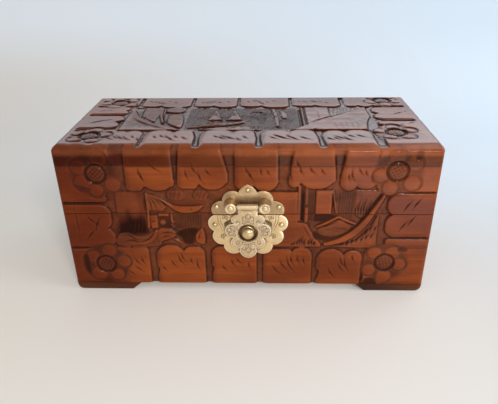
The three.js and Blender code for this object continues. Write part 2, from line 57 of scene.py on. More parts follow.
node_body = {node: body for body, nodes in bodies.items() for node in nodes}


# ---------------------------------------------------------------- sizes from the frame


def box_mm(node):
    """The lowest and highest corner of a node, in millimetres."""
    return [np.array(corner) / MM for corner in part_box(node)]


top_low, top_high = box_mm("lid_top")
CASE_LENGTH, CASE_DEPTH = (top_high - top_low)[:2]
CASE_HEIGHT = top_high[2]
CASE_MIDDLE_Y = (top_low[1] + top_high[1]) / 2
EDGE_ROUND = 4.0  # radius of the four upright corners
HALF = np.array((CASE_LENGTH / 2, CASE_DEPTH / 2))


# ---------------------------------------------------------------- camera, floor and light


def place_camera():
    pitch, yaw, roll = [math.radians(angle) for angle in (27.53, -1.96, -0.78)]
    level = math.cos(pitch)
    forward = Vector((math.sin(yaw) * level, math.cos(yaw) * level, -math.sin(pitch)))
    right = forward.cross((0, 0, 1)).normalized()
    up = right.cross(forward)
    turned_right = math.cos(roll) * right + math.sin(roll) * up
    turned_up = math.cos(roll) * up - math.sin(roll) * right
    camera = make_object("camera", bpy.data.cameras.new("camera"))
    camera.data.sensor_width = 36.0
    camera.data.lens = 36.33
    camera.data.clip_start = 0.01
    turn = Matrix((turned_right, turned_up, -forward)).transposed().to_4x4()
    camera.matrix_world = Matrix.Translation(Vector((11.8, -350.49, 225.09)) * MM) @ turn
    bpy.context.scene.camera = camera


def make_object(name, data):
    made = bpy.data.objects.new(name, data)
    bpy.context.scene.collection.objects.link(made)
    return made


def area_light(name, place, target, size, power, colour):
    light = bpy.data.lights.new(name, "AREA")
    light.shape = "RECTANGLE"
    light.size, light.size_y = size
    light.energy = power
    light.color = colour
    made = make_object(name, light)
    made.location = place
    made.rotation_euler = (Vector(target) - Vector(place)).to_track_quat("-Z", "Y").to_euler()


def light_scene():
    """A window behind the viewer's right shoulder, two dimmer ones beyond and beside the box."""
    area_light("window", (0.36, -0.95, 0.66), (0.02, -0.05, 0.06), (0.26, 0.2), 5.5, (0.95, 0.98, 1.0))
    area_light("far_window", (0.5, 0.48, 0.6), (0.05, -0.05, 0.1), (0.7, 0.35), 1.3, (0.90, 0.95, 1.0))
    area_light("side_window", (1.2, -0.35, 0.6), (0, 0, 0.05), (0.6, 0.5), 5.0, (0.88, 0.94, 1.0))
    world = bpy.data.worlds.new("room")
    bpy.context.scene.world = world
    world.use_nodes = True
    room = world.node_tree.nodes["Background"].inputs
    room["Color"].default_value = (0.92, 0.93, 0.95, 1)
    room["Strength"].default_value = 0.5


def build_stage():
    """A floor that bends up into a wall behind the box."""
    near, bend_start, bend, height, side, steps = -1.4, 0.27, 0.3, 1.4, 1.6, 12
    profile = [(near, 0.0), (bend_start, 0.0)]
    for step in range(1, steps + 1):
        angle = math.pi / 2 * step / steps
        profile.append((bend_start + bend * math.sin(angle), bend - bend * math.cos(angle)))
    profile.append((bend_start + bend, height))
    vertices = [(x, y, z) for y, z in profile for x in (-side, side)]
    faces = [(2 * i, 2 * i + 1, 2 * i + 3, 2 * i + 2) for i in range(len(profile) - 1)]
    mesh = bpy.data.meshes.new("floor")
    mesh.from_pydata(vertices, [], faces)
    mesh.shade_smooth()
    floor = make_object("floor", mesh)
    floor.data.materials.append(floor_material())


# ---------------------------------------------------------------- carving: outlines

# An outline is a box that holds it and a function that gives the distance to its edge, which
# is negative inside. Lengths of the carving are in millimetres on the plane of a face.


def away(a, b, reach, turn):
    """The place at a distance from a point, in a direction."""
    return a + reach * math.cos(turn), b + reach * math.sin(turn)


def smooth(value):
    """A soft step from 0 to 1."""
    value = np.clip(value, 0, 1)
    return value * value * (3 - 2 * value)


def disc(a, b, radius):
    box = (a - radius, b - radius, a + radius, b + radius)
    return box, lambda x, y: np.hypot(x - a, y - b) - radius


def rounded(a0, b0, a1, b1, radius):
    """A rectangle between two opposite corners, with round corners."""
    low = (min(a0, a1), min(b0, b1))
    high = (max(a0, a1), max(b0, b1))
    centre = ((a0 + a1) / 2, (b0 + b1) / 2)
    radius = min(radius, (high[0] - low[0]) / 2, (high[1] - low[1]) / 2)

    def distance(x, y):
        beside = abs(x - centre[0]) - (high[0] - low[0]) / 2 + radius
        above = abs(y - centre[1]) - (high[1] - low[1]) / 2 + radius
        corner = np.hypot(np.maximum(beside, 0), np.maximum(above, 0))
        return corner + np.minimum(np.maximum(beside, above), 0) - radius

    return (*low, *high), distance


def from_segment(x, y, start, end):
    """The distance of places from a straight piece of line."""
    (x0, y0), (x1, y1) = start, end
    dx, dy = x1 - x0, y1 - y0
    along = np.clip(((x - x0) * dx + (y - y0) * dy) / (dx * dx + dy * dy), 0, 1)
    return np.hypot(x - x0 - along * dx, y - y0 - along * dy)


def polygon(points):
    points = np.array(points, float)
    box = (*points.min(0), *points.max(0))

    def distance(x, y):
        nearest = np.full(x.shape, np.inf)
        inside = np.zeros(x.shape, bool)
        for (x0, y0), (x1, y1) in zip(points, np.roll(points, -1, 0)):
            nearest = np.minimum(nearest, from_segment(x, y, (x0, y0), (x1, y1)))
            if y0 != y1:
                inside ^= ((y0 > y) != (y1 > y)) & (x < x0 + (x1 - x0) * (y - y0) / (y1 - y0))
        return np.where(inside, -nearest, nearest)

    return box, distance


def union(*outlines):
    boxes = np.array([box for box, distance in outlines])
    distances = [distance for box, distance in outlines]
    box = (*boxes[:, :2].min(0), *boxes[:, 2:].max(0))
    return box, lambda x, y: np.minimum.reduce([distance(x, y) for distance in distances])


CURVE_STEPS = 6  # straight pieces between two points of a smooth line


def curve(points, closed=False):
    """Points of a smooth line through the given ones."""
    points = np.array(points, float)
    if closed:
        padded = np.vstack([points[-1], points, points[:2]])
    else:
        padded = np.vstack([2 * points[0] - points[1], points, 2 * points[-1] - points[-2]])
    made = []
    for p0, p1, p2, p3 in zip(padded, padded[1:], padded[2:], padded[3:]):
        for t in np.arange(CURVE_STEPS) / CURVE_STEPS:
            bend = 2 * p0 - 5 * p1 + 4 * p2 - p3
            twist = 3 * (p1 - p2) + p3 - p0
            made.append(p1 + 0.5 * t * (p2 - p0 + t * (bend + t * twist)))
    return made if closed else [*made, points[-1]]


def blob(*points):
    """A closed outline that runs smoothly through the points."""
    return polygon(curve(points, closed=True))


def band(points, width, taper):
    """A smooth band along a line; taper gives its width at both ends as shares of width."""
    line = np.array(curve(points))
    ahead = np.gradient(line, axis=0)
    aside = np.stack([-ahead[:, 1], ahead[:, 0]], 1)
    aside /= np.linalg.norm(aside, axis=1)[:, None]
    along = np.linspace(0, 1, len(line))
    ends = np.interp(along, (0, 0.5, 1), (taper[0], 1, taper[1]))
    half = (width / 2 * ends)[:, None] * aside
    return polygon(np.vstack([line + half, (line - half)[::-1]]))


# ---------------------------------------------------------------- carving: cuts

SQUARE = 0.3  # side of the squares on which a carving is worked out
WALL = 1.1  # width over which a cut goes down to its floor
GROUND = 1.7  # depth of the floor between the figures
LEAST_CUT = 0.1  # the planed face lies this far inside the sawn board


def ripple(shape, cell, seed):
    """Soft random hills between about -1 and 1, cell squares wide."""
    rng = np.random.default_rng(seed)
    rows, columns = [int(count / cell) + 3 for count in shape]
    coarse = rng.uniform(-1, 1, (rows, columns))
    across = np.arange(shape[1]) / cell
    down = np.arange(shape[0]) / cell
    wide = np.array([np.interp(across, np.arange(columns), row) for row in coarse])
    return np.array([np.interp(down, np.arange(rows), column) for column in wide.T]).T


def blurred(values, reach):
    """Values softened with a bell curve, reach squares wide on each side."""
    offsets = np.arange(-2 * reach, 2 * reach + 1)
    bell = np.exp(-0.5 * (offsets / reach) ** 2)
    bell /= bell.sum()
    padded = np.pad(values, 2 * reach, mode="edge")
    rows = sum(w * padded[i : i + values.shape[0]] for i, w in enumerate(bell))
    return sum(w * rows[:, i : i + values.shape[1]] for i, w in enumerate(bell))


class Carving:
    """The depth of cut, the dark stain and painted shade, and the darker tone of the lacquer over one
    face of the case.

    The carver stayed inside the outline held, so that the corners of the case are still whole.
    """

    def __init__(self, axes, out, low, high, held, depth=GROUND, square=SQUARE):
        self.axes, self.out, self.low, self.held = axes, np.array(out, float), low, held
        self.square = square
        a = np.arange(low[0], high[0] + square, square)
        b = np.arange(low[1], high[1] + square, square)
        self.a, self.b = np.meshgrid(a, b)
        self.depth = np.full(self.a.shape, float(depth))
        self.stain = np.zeros(self.a.shape)
        self.aged = np.zeros(self.a.shape)

    def window(self, box, margin):
        """The part of the raster that an outline can touch."""
        a0, b0, a1, b1 = box
        spans = []
        for low, start, end in ((self.low[1], b0, b1), (self.low[0], a0, a1)):
            first = (start - margin - low) / self.square
            last = (end + margin - low) / self.square + 2
            spans.append(slice(max(int(first), 0), max(int(last), 0)))
        return tuple(spans)

    def inside(self, outline, wall):
        box, distance = outline
        part = self.window(box, wall)
        return part, smooth(0.5 - distance(self.a[part], self.b[part]) / wall)

    def level(self, outline, depth, wall=WALL):
        """Brings the wood inside an outline to a depth, or to depth(a, b)."""
        part, cover = self.inside(outline, wall)
        wanted = depth(self.a[part], self.b[part]) if callable(depth) else depth
        self.depth[part] += (wanted - self.depth[part]) * cover
        self.stain[part] *= 1 - cover

    def shade(self, outline, amount, wall=WALL):
        """Darkens the wood inside an outline: stain, and painted shade where so noted."""
        part, cover = self.inside(outline, wall)
        self.stain[part] = np.maximum(self.stain[part], amount * cover)

    def pit(self, outline, depth, stain, wall=WALL, spread=WALL):
        """A level that is stained, with the stain running out over spread."""
        self.level(outline, depth, wall)
        self.shade(outline, stain, spread)

    def tint(self, outline, depth, amount, wall=WALL, spread=6.0):
        """A level whose lacquer is toned darker."""
        self.level(outline, depth, wall)
        self.tone(outline, amount, spread)

    def rail(self, points, width, depth, start=1, end=1, wall=0.9):
        """A level along a smooth band; start and end are the shares of its width there."""
        self.level(band(points, width, (start, end)), depth, wall)

    def clean(self, outline, share):
        """Rubs a share of the stain off inside an outline."""
        part, cover = self.inside(outline, 1.4)
        self.stain[part] *= 1 - share * cover

    def tone(self, outline, amount, wall=6.0):
        """Darkens the lacquer inside an outline by an amount, or by amount(a, b)."""
        part, cover = self.inside(outline, wall)
        wanted = amount(self.a[part], self.b[part]) if callable(amount) else amount
        self.aged[part] = np.maximum(self.aged[part], wanted * cover)

    def roughen(self, outline, depth, cell, seed=3):
        """Leaves the marks of a punch, cell squares wide."""
        part, cover = self.inside(outline, 2.5)
        marks = ripple(self.depth.shape, cell, seed)[part] * depth
        self.depth[part] += marks * cover

    def groove(self, points, width, depth, stain=1.0, taper=(0.25, 0.25)):
        """A cut along a smooth line, narrow at both ends."""
        line = np.array(curve(points))
        along = np.linspace(0, 1, len(line))
        ends = np.interp(along, (0, 0.4, 1), (taper[0], 1, taper[1]))
        part = self.window((*line.min(0), *line.max(0)), width)
        x, y = self.a[part], self.b[part]
        cut = np.zeros(x.shape)
        for start, end, size in zip(line, line[1:], ends):
            beside = from_segment(x, y, start, end)
            cut = np.maximum(cut, smooth(1 - beside / (width * size / 2 + self.square)) * size)
        self.depth[part] += depth * cut
        self.stain[part] = np.maximum(self.stain[part], stain * cut)

    def hatch(self, outline, spacing, depth, stain, lean=0.0):
        """Close cuts side by side; lean is their slope from the upright."""
        part, cover = self.inside(outline, WALL)
        wander = ripple(self.depth.shape, 14, 7)[part] * 0.35
        across = (self.a[part] - lean * self.b[part]) / spacing + wander
        cuts = smooth(2.2 * abs(across % 1 - 0.5) - 0.35)
        self.depth[part] += depth * cuts * cover
        self.stain[part] = np.maximum(self.stain[part], stain * cuts * cover)

    def finish(self, wall_grime_and_shade=0.75, rubbed=1.6, steep=1.3):
        """Softens the cuts and works out the lighter edges, worn and partly painted highlight, and the
        darkening on walls and at their foot, grime and painted shade.
        """
        self.depth += 0.1 * ripple(self.depth.shape, 17, 61) + 0.05 * ripple(self.depth.shape, 6, 67)
        reach = smooth(-self.held[1](self.a, self.b) / 3.2 - 0.15)
        self.depth = blurred(self.depth * reach, 1)
        self.stain *= reach
        around = blurred(self.depth, 3)
        self.worn = np.clip((around - self.depth) * rubbed, 0, 1)
        slope = np.hypot(*np.gradient(self.depth, self.square))
        self.dirt = np.clip((self.depth - around) * 1.5 + wall_grime_and_shade * smooth(steep * slope - 0.25), 0, 1)
        return self

    def at(self, points, values):
        """Values of the raster at points of the case."""
        a, b = [(points[:, axis] - low) / self.square for axis, low in zip(self.axes, self.low)]
        rows, columns = values.shape
        a = np.clip(a, 0, columns - 1.001)
        b = np.clip(b, 0, rows - 1.001)
        i, j = a.astype(int), b.astype(int)
        s, t = a - i, b - j
        lower = values[j, i] * (1 - s) + values[j, i + 1] * s
        upper = values[j + 1, i] * (1 - s) + values[j + 1, i + 1] * s
        return lower * (1 - t) + upper * t


# ---------------------------------------------------------------- carving: figures

WALL_HELD = rounded(-125, -30, 125, 114, 5)
EDGE_RUN = 16  # how far a figure runs past the edge of its face
LOBE_LAP = 0.9  # how far each lobe of a leaf runs past the split
TOP_JOINT, SEAM_LINE = 96.95, 62.7  # heights of the dark lines where boards meet
ROLL, LIP, SIDE_LIP = 0.35, 3.5, 5.0  # how deep a leaf rolls down, and how wide: all round, at its start


def bilobed(face, root, tips, sides, across, rounds=(7.5, 7.5), aged=0.0):
    """A leaf with two round lobes, growing from an edge of the face.

    sides are the start, the split and the end of the leaf along the edge, tips are the ends of
    its two lobes and rounds their radii. across is True where the edge runs along the face's
    first axis. The leaf rolls down to the cut all round, and its first side is painted darker as shade.
    """
    start, split, end = sides
    lobes = []
    spans = ((start, split + LOBE_LAP, tips[0], rounds[0]), (split - LOBE_LAP, end, tips[1], rounds[1]))
    for near, far, tip, radius in spans:
        corners = (near, root, far, tip) if across else (root, near, tip, far)
        lobes.append(rounded(*corners, radius))
    shorter = tips[0] if abs(tips[0] - root) < abs(tips[1] - root) else tips[1]
    notch = shorter + 0.8 * min(rounds) * (1 if root > shorter else -1)
    corners = (start, root, end, notch) if across else (root, start, notch, end)
    leaf = union(*lobes, rounded(*corners, 3))

    def height(a, b):
        place = a if across else b
        return ROLL * smooth(1 + leaf[1](a, b) / LIP) + ROLL * smooth(1 - abs(place - start) / SIDE_LIP)

    face.level(leaf, height)
    if aged:
        face.tone(leaf, lambda a, b: aged * smooth(1 - abs(a - start) / 8.0), wall=1.0)


def leaves(face, across, *rows):
    """Leaves in rows: the edge they grow from, and then the sides and the tips of each."""
    for root, *places in rows:
        for sides, tips in places:
            bilobed(face, root, tips, sides, across)


def joints(face, half):
    """The glued joint under the top board and the seam between lid and body."""
    for level, stain in ((TOP_JOINT, 0.5), (SEAM_LINE, 0.3)):
        face.shade(rounded(-half, level - 0.4, half, level + 0.4, 0.1), stain, wall=0.5)


def strokes(face, places, run, lean):
    """Short veins, cut with a veiner; each place is where one starts."""
    for index, (a, b) in enumerate(places):
        reach = run * (0.75 + 0.25 * math.sin(2.3 * index + a))
        middle = (a + lean * reach * 0.5 + 0.6, b + reach * 0.5)
        face.groove([(a, b), middle, (a + lean * reach, b + reach)], 0.9, 0.55)


def vein(face, a0, b0, a1, b1, width=1.25, stain=1.0):
    """A curved vein between its upper and its lower end, and a little past them."""
    more = 0.14 * (a1 - a0), 0.14 * (b0 - b1)
    a0, a1, b0, b1 = a0 - more[0], a1 + more[0], b0 + more[1], b1 - more[1]
    middle = ((a0 + a1) / 2 - 0.1 * (b0 - b1), (b0 + b1) / 2 - 0.06 * (b0 - b1))
    face.groove([(a0, b0), middle, (a1, b1)], width, 0.75, stain=stain)


def veins(face, split, level, seed, slope=0.45):
    """Curved veins over a leaf, longest by the split between its lobes."""
    chance = np.random.default_rng(seed)
    for start, length in ((-11, 5), (-6.5, 6), (-2.5, 9), (0.5, 8), (4, 5), (10, 6)):
        a = split + start + chance.uniform(-1, 1)
        b = level + chance.uniform(-2.5, 3.5)
        run = length * chance.uniform(0.75, 1.15) / 2
        lean = slope * run * chance.uniform(0.6, 1.4)
        vein(face, a - lean, b + run, a + lean, b - run)


def fan(face, a, b, reach, leans, width=1.3):
    """Dark strokes that spread from a point."""
    for lean in leans:
        tip = (a + reach * math.sin(lean), b + reach * math.cos(lean))
        middle = (a + 0.4 * reach * math.sin(lean), b + 0.5 * reach * math.cos(lean))
        face.groove([(a + lean, b), middle, tip], width, 0.45)


def flower(face, a, b, petals, stain=0.45):
    """Round petals about a hatched button, which a deep ring sets off.

    Each petal is its direction in degrees, how far out its middle is and its radius.
    """
    reach = max(out for way, out, radius in petals)
    face.pit(disc(a, b, reach + 3), 0.7, stain, 5, 6)
    places = [(*away(a, b, out, math.radians(way)), radius) for way, out, radius in petals]
    for ca, cb, radius in places:
        face.level(disc(ca, cb, radius + 1.2), 1.0, wall=1.8)
        face.shade(disc(ca, cb, radius + 1.0), 0.5, wall=1.8)
    for ca, cb, radius in places:

        def pillow(x, y, ca=ca, cb=cb, radius=radius):
            edge = (x - ca) ** 2 + (y - cb) ** 2
            return 0.12 + 0.4 * edge / radius**2 + 0.3 * smooth(1 - np.hypot(x - a, y - b) / reach)

        face.level(disc(ca, cb, radius + 0.2), pillow, wall=1.0)
    face.level(disc(a, b, 7.3), GROUND, wall=1.0)
    face.shade(disc(a, b, 7.1), 0.75, wall=1.2)
    face.pit(disc(a, b, 5.7), lambda x, y: 0.3 + 0.02 * ((x - a) ** 2 + (y - b) ** 2), 0.25, 1, 1)
    for lean in (-35, 58):
        way = math.radians(lean + petals[0][0] / 3)
        for offset in (-3.3, -1.1, 1.2, 3.2):
            half = math.sqrt(4.9**2 - offset**2)
            x, y = a - offset * math.sin(way), b + offset * math.cos(way)
            face.groove([away(x, y, t * half, way) for t in (-1, 0, 1)], 0.8, 0.35, 0.6, (0.8, 0.8))


def round_flower(turn):
    """Five even petals, the first in the direction turn."""
    return [(turn + 72 * index, 10.2, 4.5) for index in range(5)]


# ---------------------------------------------------------------- carving: the front


def front_left_scene(face):
    """A wall and a tree, a sail on its mast, a deck house, and two hulls among reeds."""
    # Wall, bright in its middle, behind a dark tree
    wall = rounded(-87.5, 47, -68.5, 79, 1.5)

    def from_middle(a, b):
        return np.hypot((a + 79.5) / 11, (b - 71) / 13)

    def sinking(a, b):
        return 0.45 + 0.4 * smooth(from_middle(a, b) - 0.3) + 0.9 * smooth((63 - b) / 9)

    face.tint(wall, sinking, lambda a, b: 0.8 * smooth(from_middle(a, b) - 0.3), 2, 2)
    crown = ((-87.5, 54), (-83, 57), (-80, 65), (-76.5, 58.5), (-71, 60), (-68, 54))
    face.shade(blob((-89, 44), *crown, (-68.5, 45)), 0.98, wall=8)
    face.hatch(blob((-86, 46), *crown[1:], (-70, 46)), 2.6, 0.25, 0.5, 0.15)
    # Shore below the tree, and a prow drawn up on it
    line = ((-89, 45), (-83, 47), (-77, 44.5), (-71, 44.5), (-65, 48), (-61, 50))
    shore = blob((-89, 37), *line, (-60.5, 37))
    face.tint(shore, 0.75, 0.3, 1.6, 2)
    face.groove([(-88, 45), (-82, 45.6), (-77, 42.5), (-71, 42.5)], 1.3, 0.6)
    face.groove([(-86, 40), (-79, 41.4), (-73, 39)], 1.1, 0.5)
    prow = [(-81, 38.6), (-71, 39.6), (-64.6, 43.6), (-61.4, 50.6)]
    face.rail(prow, 3.0, 0.15, 0.4, 0.6, wall=WALL)
    face.groove([(-76, 39.8), (-68, 42.4), (-63.6, 48.5)], 0.9, 0.5)
    # Sail: battens from the head of the mast
    face.level(polygon([(-67.4, 78), (-66, 52), (-60, 60), (-53.6, 67.4), (-60.8, 76)]), 0.6)
    face.tone(polygon([(-66, 66), (-66, 52), (-60, 60), (-57, 66)]), 0.5, wall=2)
    for head, foot in (
        ((-65.2, 75), (-63.4, 62)), ((-64.6, 75.6), (-59.6, 64.6)), ((-63.2, 76), (-56, 67)),
    ):
        middle = ((head[0] + foot[0]) / 2 + 0.5, (head[1] + foot[1]) / 2 + 0.3)
        face.groove([head, middle, foot], 0.9, 0.55)
    face.rail([(-66.9, 51), (-66.3, 64), (-66.4, 78)], 1.6, 0.1, 1.1, 0.7, wall=0.8)
    # Deck house with its roof and doorway
    face.level(rounded(-65.5, 50, -50.5, 64.5, 0.8), 1.35)
    face.shade(rounded(-60.4, 50, -51, 60.5, 0.8), 0.7)
    face.level(rounded(-65.2, 51, -60.4, 61.4, 1.0), 0.25)
    face.level(rounded(-59.6, 60.6, -52.6, 63.2, 0.5), 0.2)
    face.level(disc(-57, 55.6, 1.9), 0.7)
    face.groove([(-65.2, 57.2), (-63, 56.6), (-60.4, 57.2)], 0.9, 0.4)
    face.rail([(-50.4, 63.6), (-50.6, 58), (-50, 55)], 1.5, 0.35, 0.6, 0.6)
    face.rail([(-51.5, 54.5), (-48.5, 51.6), (-44, 49)], 1.5, 0.35, 0.5, 0.6)
    # Near hull
    face.level(blob((-60.4, 50), (-54, 51), (-47.6, 47.4), (-51, 43.6), (-60, 41)), 0.4)
    face.groove([(-60, 46.6), (-54.4, 48), (-49.4, 46.8)], 1, 0.5)
    face.groove([(-59.4, 43.2), (-55.4, 45), (-51.8, 45)], 0.9, 0.5)
    face.rail([(-51.4, 43), (-47, 40.6), (-42.6, 37.6)], 1.5, 0.45, 0.5, 0.5)
    # Far hull, a clean crescent with a long bow under a dark shore
    face.tint(rounded(-50, 67, -25, 73.4, 1.5), 1.35, 0.45)
    crescent = blob(
        (-60.4, 75.6), (-55, 73), (-50, 69.8), (-44, 68.4), (-36, 68.4), (-29.4, 68.8), (-31.4, 65.4),
        (-36, 63.4), (-43, 63), (-48.6, 65.4), (-54.4, 70.4),
    )
    face.level(crescent, 0.1)
    face.groove([(-37.4, 68), (-37, 66), (-36.8, 64)], 0.8, 0.5, stain=0.7)
    # Two mounds above it
    for mound in (rounded(-53, 72.8, -41, 80, 3.0), rounded(-35, 72.8, -25.4, 80, 3.0)):
        face.level(mound, 0.7, wall=2)
        face.hatch(mound, 2.8, 0.3, 0.35, 0.3)
        face.tone(mound, 0.4)
    # Reeds and dark water
    reeds = rounded(-49, 50.5, -30.5, 62.5, 1.5)
    face.pit(reeds, 1.2, 0.5, spread=2)
    face.hatch(reeds, 1.7, 0.5, 1.0, 0.05)
    water = blob((-49, 47), (-42, 51), (-33.5, 51), (-35.6, 44), (-37, 38), (-43.6, 38), (-45.6, 42.5))
    face.pit(water, GROUND, 0.9, 2.5, 3.5)
    face.level(blob((-30.4, 51), (-35, 46.5), (-34.8, 40.4), (-29.5, 38.5), (-28.6, 45)), 0.15)
    face.groove([(-33.4, 41), (-32.8, 45), (-31.4, 49)], 0.9, 0.4)


def front_right_scene(face):
    """A bank with grass, two posts, a screen, a thatched roof and a long curved gunwale."""
    # Bank
    bank = curve([(33.8, 60), (39, 56), (42, 51), (44.6, 45), (50.8, 38)])
    bank = polygon([(12, 79), (33.6, 79), *bank, (50, 36.6), (12, 36.6)])
    face.level(bank, 0.3)
    face.rail([(39.8, 55), (43.4, 47.4), (49.8, 38.6)], 2.4, 0.1, 0.7, 0.7, wall=1.4)
    face.groove([(37, 55.4), (41, 47.6), (46.4, 39.6)], 1.0, 0.4, stain=0.5)
    feet = (31, 32.6, 34.6, 36.2, 37.8, 39.4, 42.6, 44.4, 46.2)
    for foot, top in zip(feet, (40, 41, 43, 45.6, 46, 43.4, 43.6, 44, 42)):
        face.groove([(foot, 37.2), (foot - 0.4, (37.2 + top) / 2), (foot + 0.6, top)], 1.6, 0.9)
    # Posts
    face.level(rounded(34.2, 56, 45, 84, 1.0), 1.5)
    face.shade(rounded(34.6, 57, 45, 84, 0.6), 0.6)
    face.level(rounded(33.8, 57, 35.8, 84, 0.6), 0.4, wall=0.8)
    face.level(rounded(38.6, 56, 41, 67.5, 0.8), 0.35, wall=0.8)
    face.level(rounded(38.9, 69, 40.3, 84, 0.6), 0.8, wall=0.8)
    face.shade(rounded(36, 57, 38.4, 82, 0.6), 1.0)
    # Screen with a moulded edge, dark below
    face.level(rounded(45, 56.4, 59, 63, 0.8), 1.6)
    face.shade(rounded(45, 56.4, 59, 62, 0.8), 0.85)
    face.level(rounded(45.6, 62.4, 56.4, 80.4, 1.0), 0.2)
    face.rail([(56.8, 80.5), (58.2, 72), (59.8, 62.6)], 1.1, 0.4, 0.8, 0.8, wall=0.8)
    face.groove([(56.2, 65), (57.2, 69), (57.4, 72.5)], 1.2, 0.6)
    # Reeds on dark ground
    reeds = rounded(60.4, 59, 71, 80.6, 1.0)
    face.pit(reeds, 1.3, 0.45, spread=2)
    face.hatch(reeds, 1.7, 0.5, 1.0)
    sky = polygon([(71.4, 80), (71, 63), (76, 59), (82, 61), (91, 80)])
    face.level(sky, 0.75, wall=2.0)
    for foot, top in ((72.4, 70.5), (74.2, 73.5), (76, 72), (77.8, 74), (79.6, 70.6), (81.4, 73)):
        face.groove([(foot, 60), (foot - 0.3, (60 + top) / 2), (foot + 0.9, top)], 1.5, 0.8)
    edge = ((88.4, 79), (90, 78), (82, 62), (77, 55))
    face.level(polygon([(75, 54), (79, 61), (85.6, 73), *edge]), GROUND, wall=1.6)
    face.shade(polygon([(74, 54), (77, 61), (84.6, 74), *edge]), 0.9, wall=1.6)
    # Thatched roof and the hut under it
    hut = blob((48, 51), (56, 55), (62, 58), (68, 55), (71, 53), (66, 47), (58, 45.4), (50, 46.4))
    face.level(hut, lambda a, b: 0.5 + 0.05 * (58 - b))
    for a, b in ((55, 50.4), (60, 51.6), (65, 51)):
        face.groove([(a - 4, b - 0.6), (a, b), (a + 3.4, b - 1)], 1.0, 0.35, stain=0.5)
    face.groove([(47, 50.6), (54, 53.6), (61.4, 57.2)], 1.6, 0.9)
    face.rail([(46.4, 52.2), (54, 56), (61.5, 60.4)], 1.9, 0.15, 0.6, 0.9)
    face.rail([(61.5, 60.4), (67, 57.6), (73.4, 54.6)], 1.9, 0.15, 0.9, 0.6)
    eaves = ((45, 49), (52, 45.6), (60, 45), (69, 49))
    shadow = blob(*eaves, (74.6, 50.6), (67, 44), (56, 41), (46.5, 43))
    face.pit(shadow, 1.5, 0.8)
    # Gunwale
    gunwale = [(52.5, 38.6), (60, 40.6), (66, 43.2), (74, 49.2), (80, 57), (86, 68), (90.6, 77)]
    face.rail(gunwale, 5.4, 0.05, 0.5, 0.4, wall=WALL)
    face.groove([(56, 37), (65, 39.6), (73.6, 45.2), (81, 53.6), (87.4, 65)], 1.5, 0.8)
    # Leaves under the gunwale
    under = blob((60, 36.8), (68, 38.8), (76, 43.4), (83, 52), (88, 62), (88.6, 50), (88.8, 36.8))
    face.level(under, 0.6)
    feet = (68, 71, 74.4, 77.6, 80.6, 84, 86, 83, 80)
    for a, b in zip(feet, (37, 38.5, 40, 40.5, 42, 43, 49, 49, 46)):
        face.groove([(a, b), (a + 0.5, b + 2.6), (a + 2.2, b + 4.8)], 1.4, 0.75)
    face.level(blob((88.6, 36), (89, 60), (92, 60), (92.6, 46), (92.4, 36)), GROUND)


